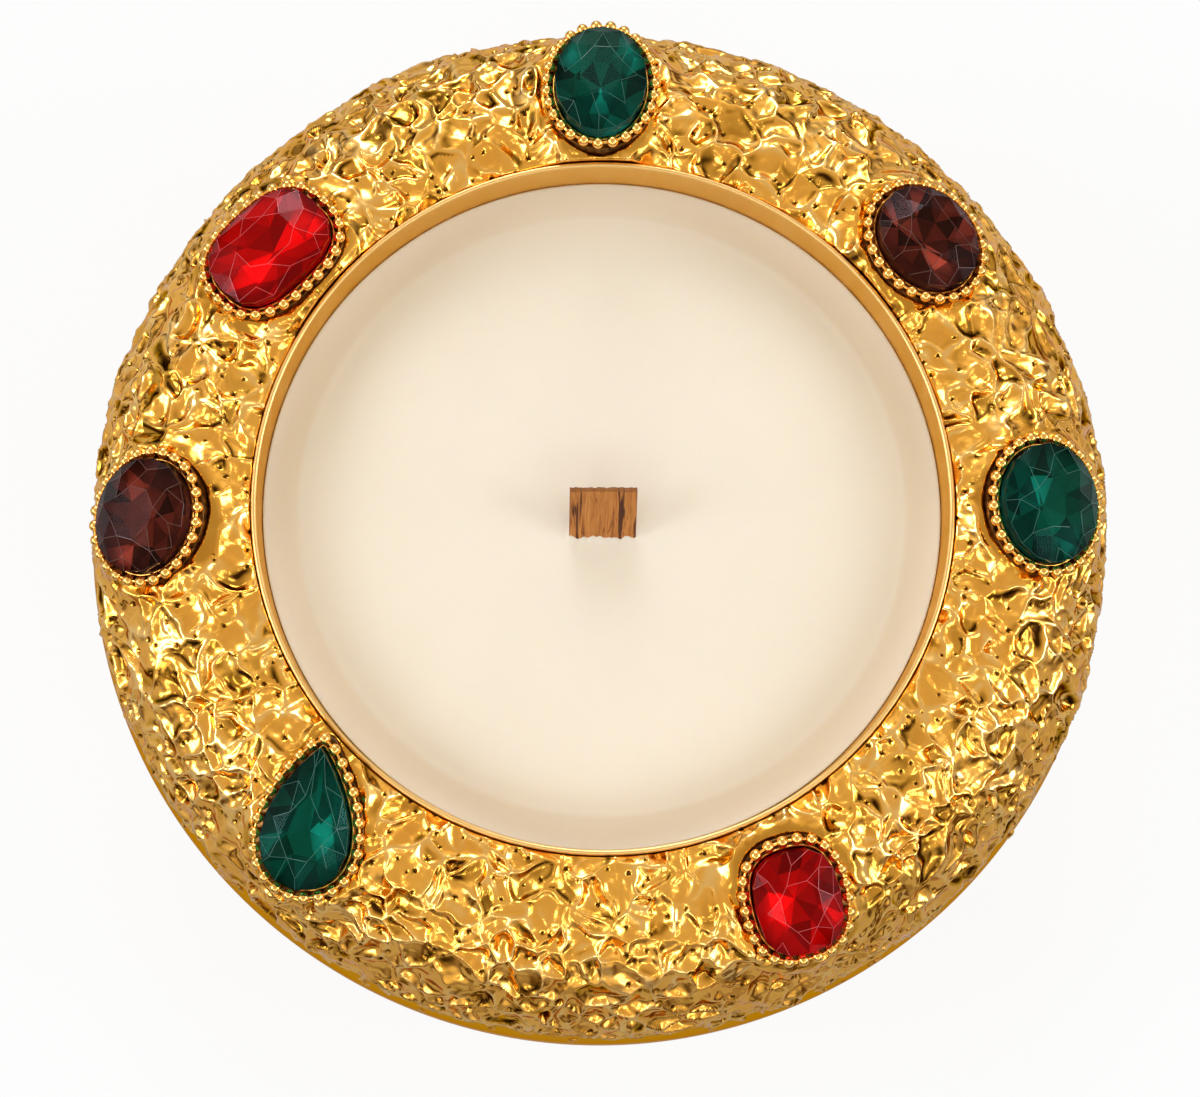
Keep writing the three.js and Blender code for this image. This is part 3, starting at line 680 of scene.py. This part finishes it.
profile += [(cup["floorRadius"] - cup["corner"], cup["floor"] + cup["wall"]), (0, cup["floor"] + cup["wall"])]
bm = spunShape(profile, cup["steps"])
toMetres(bm)
makePiece("cup", bm, [satinGold], ["inner_cup"])
print("inner cup turned")


# Wax: poured fill with a meniscus at the wall and round the wick

wax = {"steps": 240, "top": 84.1, "foot": 37.3, "slack": 0.15, "rise": 0.9, "width": 4.2, "climbPower": 2.2,
       "ring": 6.5, "ringHeight": 0.12, "fineStep": 0.4, "edgeRows": 26, "wideStep": 1.5, "wideRows": 28,
       "middle": 12, "middleRows": 30, "skin": 0.05, "ripple": 0.10, "rippleFineness": 0.06,
       "wickClimb": 0.6, "climbVary": 0.9, "climbFineness": 0.75, "climbStart": (0, 2), "wickReach": 0.7}
waxLook = {"colour": (0.845, 0.79, 0.68), "sheen": (0.34, 0.52), "sheenGrain": (160, 3, 0.6),
           "cloud": (35, 4, 0.6), "cloudColours": [(0.3, (0.835, 0.78, 0.67)), (0.7, (0.855, 0.80, 0.69))],
           "edge": (0.91, 0.89, 0.86, 1), "edgeRun": (44 * mm, 65 * mm), "bump": (240, 3, 0.5),
           "bumpDepth": (0.00012, 0.4), "glow": 0.35, "glowRadius": (1.0, 0.75, 0.5), "glowScale": 0.004}
wick = {"width": 12.7, "thick": 1.0, "exposed": 12.5, "lean": 36, "bend": 8, "forward": 6.25, "foot": 39.4,
        "columns": 64, "rows": 70, "crowding": 1.8, "splitFrom": 0.28,
        "grain": {"across": 1.6, "along": 0.07, "depth": 0.12, "start": 3},
        "split": {"across": 0.9, "along": 0.05, "depth": 0.5, "start": 9},
        "ragged": 0.35, "raggedFineness": 0.8, "raggedStart": (1, 5), "raggedFrom": 0.9,
        "cutSides": (0.965, 0.99), "cutTop": (0.3, 0.1), "cutShade": 0.75}
wickLook = {"colour": (0.50, 0.19, 0.06), "roughness": 0.75, "grain": (900, 5, 0.65, 0.2),
            "stretch": (1, 0.12, 0.12),
            "woodColours": [(0.30, (0.27, 0.095, 0.018)), (0.46, (0.49, 0.185, 0.036)),
                            (0.68, (0.62, 0.28, 0.065))],
            "cracks": (520, 3, 0.6, 0.25), "crackStretch": (1, 0.07, 0.07),
            "crackColours": [(0.40, (0.16, 0.10, 0.06)), (0.435, (1, 1, 1)), (0.505, (1, 1, 1)),
                             (0.52, (0.45, 0.34, 0.24)), (0.535, (1, 1, 1))],
            "cutEdge": (0.22, 0.07, 0.012, 1), "bumpDepth": (0.0006, 0.8)}

waxMaterial, tree, shader = newMaterial("wax", waxLook["colour"], 0.0, waxLook["sheen"][1])
space = objectSpace(tree)
cloud = rampOf(tree, noiseField(tree, space, *waxLook["cloud"]), waxLook["cloudColours"])
outward = addNode(tree, "ShaderNodeVectorMath", {0: objectSpace(tree, (1, 1, 0))}, operation="LENGTH")
nearWall = rangeOf(tree, outward.outputs["Value"], 0, 1, *waxLook["edgeRun"], "SMOOTHSTEP")
tint = mixColours(tree, cloud, waxLook["edge"], nearWall, "MULTIPLY")  # the wall shades the wax
setInputs(shader, {"Base Color": tint, "Subsurface Weight": waxLook["glow"],
                   "Subsurface Radius": waxLook["glowRadius"], "Subsurface Scale": waxLook["glowScale"]})
unevenSheen(tree, shader, noiseField(tree, space, *waxLook["sheenGrain"]), waxLook["sheen"])
bumpOf(tree, shader, noiseField(tree, space, *waxLook["bump"]), *waxLook["bumpDepth"])

lean = math.radians(wick["lean"])
wickSpot = wick["bend"] * (1 - math.cos(lean)) - wick["forward"]  # where the wick leaves the wax
edgeRadius = cupRadius(wax["top"]) - wax["slack"]
rows = [edgeRadius - wax["fineStep"] * i for i in range(wax["edgeRows"])]
rows += [rows[-1] - wax["wideStep"] * i for i in range(1, wax["wideRows"] + 1)]
rows = [radius for radius in rows if radius > wax["middle"]]
rows += [wax["middle"] - wax["fineStep"] * i for i in range(wax["middleRows"])]


def waxHeight(radius):
    climb = max(1 - (edgeRadius - radius) / wax["width"], 0) ** wax["climbPower"]
    return wax["top"] + wax["rise"] * climb + wax["ringHeight"] * bell(edgeRadius - radius - wax["ring"])


profile = [(0, wax["foot"]), (cup["floorRadius"] - cup["corner"], wax["foot"])]
profile += [(cupRadius(wax["foot"] + cup["corner"]) - wax["slack"], wax["foot"] + cup["corner"])]
profile += [(radius, waxHeight(radius)) for radius in rows] + [(0, wax["top"])]
bm = spunShape(profile, wax["steps"])
for vert in bm.verts:
    if vert.co.z > wax["top"] - wax["skin"]:  # the surface only
        vert.co.z += wax["ripple"] * noise.noise(Vector((vert.co.x, vert.co.y, 0)) * wax["rippleFineness"])
        gapX = max(abs(vert.co.x) - wick["width"] / 2, 0)
        gapY = max(abs(vert.co.y - wickSpot) - wick["thick"] / 2, 0)
        uneven = noise.noise(Vector((vert.co.x * wax["climbFineness"], *wax["climbStart"])))  # along the wick
        climb = wax["wickClimb"] + wax["climbVary"] * uneven
        vert.co.z += climb * math.exp(-math.hypot(gapX, gapY) / wax["wickReach"])
toMetres(bm)
makePiece("wax_fill", bm, [waxMaterial], ["wax"])
print("wax poured")


# Wick: one flat wooden strip, split along its grain

wickMaterial, tree, shader = newMaterial("wick_wood", wickLook["colour"], 0.0, wickLook["roughness"])
grain = noiseField(tree, objectSpace(tree, wickLook["stretch"]), *wickLook["grain"])
wood = rampOf(tree, grain, wickLook["woodColours"])
cracks = noiseField(tree, objectSpace(tree, wickLook["crackStretch"]), *wickLook["cracks"])
wood = mixColours(tree, wood, rampOf(tree, cracks, wickLook["crackColours"]), 1.0, "MULTIPLY")
wood = mixColours(tree, wood, wickLook["cutEdge"], attributeOf(tree, "border"))  # darker along the cut edges
setInputs(shader, {"Base Color": wood})
bumpOf(tree, shader, grain, *wickLook["bumpDepth"])

bendFoot = wax["top"] - wick["bend"] * math.sin(lean)
straightLength = bendFoot - wick["foot"]
bendLength = wick["bend"] * lean
wickLength = straightLength + bendLength + wick["exposed"]


def wickAt(along):  # a point on the strip's middle line, and how far it leans there
    if along < straightLength:
        return Vector((0, -wick["forward"], wick["foot"] + along)), 0.0
    turn = min((along - straightLength) / wick["bend"], lean)
    point = Vector((0, wick["bend"] * (1 - math.cos(turn)) - wick["forward"],
                    bendFoot + wick["bend"] * math.sin(turn)))
    rest = max(along - straightLength - bendLength, 0.0)
    return point + Vector((0, math.sin(turn), math.cos(turn))) * rest, turn


def strands(wood, across, along):  # noise drawn out along the wood
    return noise.noise(Vector((across * wood["across"], along * wood["along"], wood["start"])))


bm = bmesh.new()
border = bm.verts.layers.float.new("border")
bmesh.ops.create_grid(bm, x_segments=wick["columns"], y_segments=wick["rows"], size=0.5)
bmesh.ops.solidify(bm, geom=bm.faces[:], thickness=1.0)
low = min(vert.co.z for vert in bm.verts)
high = max(vert.co.z for vert in bm.verts)
for vert in bm.verts:
    across = vert.co.x * wick["width"]
    share = vert.co.y + 0.5
    along = wickLength * (1 - (1 - share) ** wick["crowding"])  # more rows near the top
    depth = ((vert.co.z - low) / (high - low) - 0.5) * wick["thick"]
    grainDepth = strands(wick["grain"], across, along) * wick["grain"]["depth"]
    split = max(strands(wick["split"], across, along) - wick["splitFrom"], 0) * wick["split"]["depth"]
    ragged = wick["ragged"] * noise.noise(Vector((across * wick["raggedFineness"], *wick["raggedStart"])))
    sideCut = smoothStep(*wick["cutSides"], abs(vert.co.x) * 2)
    topCut = smoothStep(wickLength - wick["cutTop"][0], wickLength - wick["cutTop"][1], along)
    vert[border] = wick["cutShade"] * max(sideCut, topCut)
    point, turn = wickAt(along)
    side = Vector((0, math.cos(turn), -math.sin(turn)))
    ahead = Vector((0, math.sin(turn), math.cos(turn)))
    vert.co = point + Vector((across, 0, 0)) + ahead * ragged * smoothStep(wick["raggedFrom"], 1.0, share)
    vert.co += side * (depth + math.copysign(1, depth) * (grainDepth - split))
bmesh.ops.recalc_face_normals(bm, faces=bm.faces[:])
smoothFaces(bm)
toMetres(bm)
makePiece("wick_strip", bm, [wickMaterial], ["wick"])
print("wick cut")


# Settings, beads and stones

beads = {"line": 1.5, "radius": 1.14, "pitch": 2.8, "height": 2.1, "link": 0.3, "linkSides": 8,
         "linkShare": 0.5, "roundness": 3}
cut = {"foot": 1.3, "girdle": 4.3, "girdleBand": 0.3, "table": 7.0, "undercut": 0.25, "culet": -1.6,
       "tableShare": 0.48, "midShare": 0.78, "keel": 0.5, "keelHeight": -0.6, "facets": 8, "flat": 2,
       "edgeBevel": 0.05, "bevelShare": 0.6, "near": 0.01, "pearShift": -0.10}
glassLooks = {
    "emerald": {"glass": (0.10, 0.66, 0.55), "dark": (0.001, 0.014, 0.011), "light": (0.004, 0.13, 0.10),
                "edge": (0.025, 0.12, 0.10), "shine": (0.20, 0.40, 0.36, 1)},
    "ruby": {"glass": (0.92, 0.08, 0.08), "dark": (0.22, 0.002, 0.003), "light": (0.75, 0.010, 0.018),
             "edge": (0.50, 0.06, 0.07), "shine": (0.45, 0.30, 0.30, 1)},
    "garnet": {"glass": (0.55, 0.25, 0.19), "dark": (0.016, 0.004, 0.002), "light": (0.22, 0.062, 0.042),
               "edge": (0.10, 0.045, 0.035), "shine": (0.35, 0.30, 0.30, 1)},
}
glassBody = {"ior": 1.3, "roughness": 0.01, "cloud": (120, 2, 0.5), "cloudSpan": (0.3, 0.7),
             "cloudShade": 0.85, "foilMetal": 0.8, "foilRoughness": 0.32, "edgeRoughness": 0.3,
             "edgeGrain": (300, 2, 0.5), "edgeSpan": (0.35, 0.65), "edgeShade": 1.2}


def shadedColour(tree, grain, span, colour, other):
    field = noiseField(tree, objectSpace(tree), *grain)
    return rampOf(tree, field, [(span[0], colour), (span[1], other)])


def shade(colour, share):
    return tuple(value * share for value in colour)


def stoneGlass(name, look):
    body = glassBody
    glass, tree, shader = newMaterial(name + "_glass", look["glass"], 0.0, body["roughness"])
    cloudy = shade(look["glass"], body["cloudShade"])
    tint = shadedColour(tree, body["cloud"], body["cloudSpan"], cloudy, look["glass"])
    setInputs(shader, {"Base Color": tint, "Transmission Weight": 1.0, "IOR": body["ior"],
                       "Specular Tint": look["shine"]})  # keeps the ceiling from greying the stone
    foil, tree, shader = newMaterial(name + "_foil", look["light"], body["foilMetal"], body["foilRoughness"])
    facetLight = attributeOf(tree, "facetLight")  # each facet's painted share of light, standing in for reflections inside the stone
    setInputs(shader, {"Base Color": rampOf(tree, facetLight, [(0.0, look["dark"]), (1.0, look["light"])])})
    # the bevelled facet edges get a paler matte band: painted highlight along the edges
    edge, tree, shader = newMaterial(name + "_painted_edge", look["edge"], 0.0, body["edgeRoughness"])
    pale = shade(look["edge"], body["edgeShade"])
    tint = shadedColour(tree, body["edgeGrain"], body["edgeSpan"], look["edge"], pale)
    setInputs(shader, {"Base Color": tint})
    return [glass, foil, edge]


glasses = {name: stoneGlass(name, look) for name, look in glassLooks.items()}


def moveInto(bm, stone):
    bmesh.ops.transform(bm, matrix=Matrix.Scale(mm, 4) @ stone["place"], verts=bm.verts[:])


def shoulderDrop(stone, x, y):  # the shoulder's height under a point of the setting, found by halving
    low, high = setting["search"]
    for _ in range(setting["halvings"]):
        middle = (low + high) / 2
        out, up = shoulderShares(stone["place"] @ Vector((x, y, middle)))
        if out ** bowl["fullness"] + up ** bowl["fullness"] < 1:
            low = middle
        else:
            high = middle
    return low


def makeSetting(stone):
    skirt, top, edge = setting["skirt"], setting["top"], setting["edge"]
    wallOut, wallEdge, fillet = setting["wallOut"], setting["wallEdge"], setting["fillet"]
    wallTop = top + setting["wallHeight"]
    aside, below = setting["edgeMiddle"]
    levels = [(skirt, None), (skirt, top - edge), (skirt - aside, top - below), (skirt - edge, top),
              (wallOut + fillet, top), (wallOut, top + fillet), (wallOut, wallTop - wallEdge),
              (wallOut - wallEdge, wallTop), (setting["wallIn"], wallTop),
              (setting["wallIn"], setting["floor"])]
    bm = bmesh.new()
    bmesh.ops.create_grid(bm, x_segments=setting["points"], y_segments=len(levels) - 1, size=0.5)
    for vert in bm.verts:
        margin, height = levels[round((vert.co.y + 0.5) * (len(levels) - 1))]
        spot, _ = outlineAt(stone, 2 * math.pi * (vert.co.x + 0.5), margin)
        z = height if height is not None else shoulderDrop(stone, spot.x, spot.y) - setting["sink"]
        vert.co = (spot.x, spot.y, z)
    bmesh.ops.remove_doubles(bm, verts=bm.verts[:], dist=1e-4)
    bmesh.ops.holes_fill(bm, edges=[edge for edge in bm.edges if edge.is_boundary], sides=0)
    bmesh.ops.recalc_face_normals(bm, faces=bm.faces[:])
    for face in bm.faces:
        face.smooth = len(face.verts) == 4
        # faces low in the setting take the dark metal, painted shade
        face.material_index = 0 if face.calc_center_median().z > top + setting["bright"] else 1
    moveInto(bm, stone)
    metals = [smoothGold, darkGold]
    makePiece("mount_" + stone["name"], bm, metals, ["setting_" + stone["name"]])


def makeBeads(stone):
    _, girth = evenOutline(stone, beads["line"], 1)
    count = round(girth / beads["pitch"])
    spots, _ = evenOutline(stone, beads["line"], count)
    bm = bmesh.new()
    for i, spot in enumerate(spots):
        after = spots[(i + 1) % count]
        place = Matrix.Translation((spot.x, spot.y, beads["height"]))
        bmesh.ops.create_icosphere(bm, subdivisions=beads["roundness"], radius=beads["radius"], matrix=place)
        ahead = (after - spot).to_3d()
        turn = ahead.to_track_quat("Z", "Y").to_matrix().to_4x4()
        middle = Matrix.Translation(((spot.x + after.x) / 2, (spot.y + after.y) / 2, beads["height"]))
        bmesh.ops.create_cone(bm, segments=beads["linkSides"], radius1=beads["link"], radius2=beads["link"],
                              depth=ahead.length * beads["linkShare"], matrix=middle @ turn)
    smoothFaces(bm)
    moveInto(bm, stone)
    makePiece("bead_ring_" + stone["name"], bm, [beadGold], ["beads_" + stone["name"]])


def makeStone(stone):
    facets = cut["facets"]
    shift = cut["pearShift"] if stone["cut"] == "pear" else 0.0
    centre = Vector((shift * stone["size"][0], 0))
    fall = (cut["midShare"] * math.cos(math.pi / facets) - cut["tableShare"]) / (1 - cut["tableShare"])
    middle = cut["table"] - fall * (cut["table"] - cut["girdle"])  # keeps each kite flat
    under = -cut["undercut"]
    rings = [(facets, 0.5, cut["tableShare"], cut["table"], 0), (facets, 0, cut["midShare"], middle, 0),
             (2 * facets, 0, 1, cut["girdle"], 0), (2 * facets, 0, 1, cut["girdle"] - cut["girdleBand"], 0),
             (2 * facets, 0, 1, cut["foot"], under), (facets, 0.5, cut["keel"], cut["keelHeight"], under),
             (1, 0, 0, cut["culet"], 0)]
    bm = bmesh.new()
    for count, offset, share, height, margin in rings:
        for k in range(count):
            spot, _ = outlineAt(stone, 2 * math.pi * (k + offset) / count, margin)
            bm.verts.new((centre + (spot - centre) * share).to_3d() + Vector((0, 0, height)))
    bmesh.ops.convex_hull(bm, input=bm.verts[:])
    bmesh.ops.dissolve_limit(bm, angle_limit=math.radians(cut["flat"]), verts=bm.verts[:], edges=bm.edges[:])
    facetLight = bm.faces.layers.float.new("facetLight")
    dice = random.Random(stone["name"])
    for face in bm.faces:
        low = max(vert.co.z for vert in face.verts) < cut["foot"] + cut["near"]
        face.material_index = 1 if low else 0
        # a random painted share of light for each facet
        face[facetLight] = dice.random()
    crown = [edge for edge in bm.edges if min(vert.co.z for vert in edge.verts) > cut["girdle"] - cut["near"]]
    crown = [edge for edge in crown if dice.random() < cut["bevelShare"]]
    edgeBevel = bmesh.ops.bevel(bm, geom=crown, offset=cut["edgeBevel"], offset_type="OFFSET", segments=1, profile=0.5,
                           affect="EDGES", material=-1, clamp_overlap=True)
    # the bevels are real; their paler matte material is a painted highlight
    for face in edgeBevel["faces"]:
        face.material_index = 2
    bmesh.ops.recalc_face_normals(bm, faces=bm.faces[:])
    moveInto(bm, stone)
    kind = stone["name"].split("_")[0]
    makePiece("gem_" + stone["name"], bm, glasses[kind], ["stone_" + stone["name"]])


for stone in stones:
    makeSetting(stone)
    makeBeads(stone)
    makeStone(stone)
print("stones set")


# Hidden fittings keep their solids

fittings = {"steel": (0.46, 0.47, 0.48), "steelSheen": (0.25, 0.45), "steelGrain": (300, 3, 0.6),
            "steelStretch": (1, 12, 1), "paper": (0.80, 0.78, 0.73), "paperRoughness": 0.9,
            "fibres": (1500, 4, 0.7), "fibreColours": [(0.3, (0.74, 0.72, 0.67)), (0.7, (0.84, 0.82, 0.77))]}
clipSteel, tree, shader = newMaterial("clip_steel", fittings["steel"], 1.0, fittings["steelSheen"][1])
brushing = noiseField(tree, objectSpace(tree, fittings["steelStretch"]), *fittings["steelGrain"])
unevenSheen(tree, shader, brushing, fittings["steelSheen"])
stickerPaper, tree, shader = newMaterial("sticker_paper", fittings["paper"], 0.0, fittings["paperRoughness"])
fibres = noiseField(tree, objectSpace(tree), *fittings["fibres"])
setInputs(shader, {"Base Color": rampOf(tree, fibres, fittings["fibreColours"])})
for node, material in (("wick_clip", clipSteel), ("wick_sticker", stickerPaper)):
    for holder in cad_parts[node].material_slots:
        holder.material = material


# Studio: pale floor, soft light all round, camera

studio = {"floor": (0.82, 0.86, 0.90), "floorRoughness": 0.7, "board": 0.42, "sweep": 3,
          "sweepDrop": 0.5 * mm, "level": 0.8, "white": 0.88, "mirrored": (0.52, 0.80),
          "mirrorRun": (-0.20, 0.12),
          "dome": [(0.0, (0.24, 0.19, 0.12)), (0.46, (0.12, 0.07, 0.03)), (0.58, (0.08, 0.045, 0.02)),
                   (0.66, (0.46, 0.37, 0.23)), (0.80, (0.80, 0.69, 0.52)), (1.0, (0.68, 0.58, 0.44))],
          "lobeColour": (0.96, 1.0, 1.12, 1),
          "boxTurns": (35, 145, 0, 180, 215, 325, 270), "boxPower": 0.2, "boxSize": 0.15, "boxReach": 1.0,
          "boxHeight": 0.95, "boxAim": (0, 0, 0.08)}
lobes = [  # each lobe's bearing and rise in degrees, its strength, and where it starts to fade and ends
    {"turn": 185, "rise": 30, "strength": 8.0, "inner": 3, "outer": 16},
    {"turn": -5, "rise": 28, "strength": 7.4, "inner": 3, "outer": 16},
    {"turn": 95, "rise": 25, "strength": 9.0, "inner": 3, "outer": 16},
    {"turn": 235, "rise": 40, "strength": 4.0, "inner": 3, "outer": 12},
    {"turn": 305, "rise": 38, "strength": 4.0, "inner": 3, "outer": 12},
    {"turn": 180, "rise": 12, "strength": 0.6, "inner": 10, "outer": 45},
    {"turn": 0, "rise": 12, "strength": 0.5, "inner": 10, "outer": 45},
    {"turn": 90, "rise": 14, "strength": 0.5, "inner": 10, "outer": 50},
    {"turn": 270, "rise": 14, "strength": 0.3, "inner": 10, "outer": 40},
]

floorMaterial, tree, shader = newMaterial("pale_floor", studio["floor"], 0.0, studio["floorRoughness"])
for name, half, drop in (("board", studio["board"], 0.0), ("sweep", studio["sweep"], studio["sweepDrop"])):
    bm = bmesh.new()
    bmesh.ops.create_grid(bm, x_segments=1, y_segments=1, size=half)
    bmesh.ops.translate(bm, vec=(0, 0, -drop), verts=bm.verts[:])
    sheet = newObject(name, bm, [floorMaterial])
    sheet.visible_glossy = name == "board"  # past the board the metal mirrors the studio
path = tree.nodes.new("ShaderNodeLightPath").outputs
bounced = {0: path["Is Glossy Ray"], 1: path["Is Transmission Ray"]}
mirrored = addNode(tree, "ShaderNodeMath", bounced, operation="MAXIMUM").outputs["Value"]
toCamera = rangeOf(tree, path["Is Camera Ray"], 0, studio["white"])
seen = addNode(tree, "ShaderNodeMath", {0: toCamera, 1: mirrored}, operation="MAXIMUM").outputs["Value"]
spot = addNode(tree, "ShaderNodeSeparateXYZ", {"Vector": objectSpace(tree)})
front = rangeOf(tree, spot.outputs["Y"], *studio["mirrored"], *studio["mirrorRun"])
grey = rangeOf(tree, mirrored, 1, front)  # painted shade: greyer in the metal, more so in front, where the bowl's shadow lies
white = addNode(tree, "ShaderNodeEmission", {"Color": grey, "Strength": 1.0})
blend = mixShaders(tree, shader.outputs["BSDF"], white.outputs["Emission"], seen)
setInputs(tree.nodes["Material Output"], {"Surface": blend})

scene.world = bpy.data.worlds.new("studio")
scene.world.use_nodes = True
tree = scene.world.node_tree
direction = tree.nodes.new("ShaderNodeTexCoord").outputs["Generated"]
parts = addNode(tree, "ShaderNodeSeparateXYZ", {"Vector": direction})
dome = rampOf(tree, rangeOf(tree, parts.outputs["Z"], 0, 1, -1, 1), studio["dome"])  # dark round the horizon
setInputs(tree.nodes["Background"], {"Color": dome})
light = tree.nodes["Background"].outputs["Background"]
for lobe in lobes:  # soft boxes without edges
    rise, turn = math.radians(lobe["rise"]), math.radians(lobe["turn"])
    inner, outer = math.cos(math.radians(lobe["inner"])), math.cos(math.radians(lobe["outer"]))
    aim = roundSpot(math.cos(rise), turn, math.sin(rise))
    facing = addNode(tree, "ShaderNodeVectorMath", {0: direction, 1: aim}, operation="DOT_PRODUCT")
    glow = rangeOf(tree, facing.outputs["Value"], 0, lobe["strength"], outer, inner, "SMOOTHSTEP")
    shine = addNode(tree, "ShaderNodeBackground", {"Color": studio["lobeColour"], "Strength": glow})
    both = addNode(tree, "ShaderNodeAddShader", {0: light, 1: shine.outputs["Background"]})
    light = both.outputs["Shader"]
path = tree.nodes.new("ShaderNodeLightPath").outputs
unlit = addNode(tree, "ShaderNodeBackground", {"Strength": 0.0}).outputs["Background"]
backdrop = addNode(tree, "ShaderNodeBackground", {"Color": (1, 1, 1, 1)}).outputs["Background"]
level = rangeOf(tree, path["Is Glossy Ray"], studio["level"], 1)  # full strength only in the metal
light = mixShaders(tree, unlit, light, level)
light = mixShaders(tree, light, backdrop, path["Is Camera Ray"])  # white behind the floor's far edge
setInputs(tree.nodes["World Output"], {"Surface": light})

for turn in studio["boxTurns"]:
    lamp = bpy.data.lights.new(f"box{turn}", "AREA")
    lamp.size = studio["boxSize"]
    lamp.energy = studio["boxPower"]
    holder = bpy.data.objects.new(f"box{turn}", lamp)
    holder.location = roundSpot(studio["boxReach"], math.radians(turn), studio["boxHeight"])
    toward = Vector(studio["boxAim"]) - holder.location
    holder.rotation_euler = toward.to_track_quat("-Z", "Y").to_euler()
    scene.collection.objects.link(holder)

view = {"distance": 600, "tilt": 9.59, "lean": 1.26, "aside": 0.70, "below": 8.68, "focal": 3204.4,
        "frameWidth": 1200, "sensor": 36}
tilt, roll = math.radians(view["tilt"]), math.radians(view["lean"])
right = Vector((math.cos(roll), 0, math.sin(roll)))
upward = Vector((-math.sin(roll) * math.sin(tilt), math.cos(tilt), math.cos(roll) * math.sin(tilt)))
back = Vector((-math.sin(roll) * math.cos(tilt), -math.sin(tilt), math.cos(roll) * math.cos(tilt)))
eye = Vector((0, 0, bowl["height"])) - right * view["aside"] - upward * view["below"]
eye += back * view["distance"]
lens = bpy.data.cameras.new("photoCamera")
lens.sensor_width = view["sensor"]
lens.lens = view["focal"] * view["sensor"] / view["frameWidth"]  # focal is in pixels
camera = bpy.data.objects.new("photoCamera", lens)
camera.matrix_world = Matrix.Translation(eye * mm) @ Matrix((right, upward, back)).transposed().to_4x4()
scene.collection.objects.link(camera)
scene.camera = camera
print("studio ready")
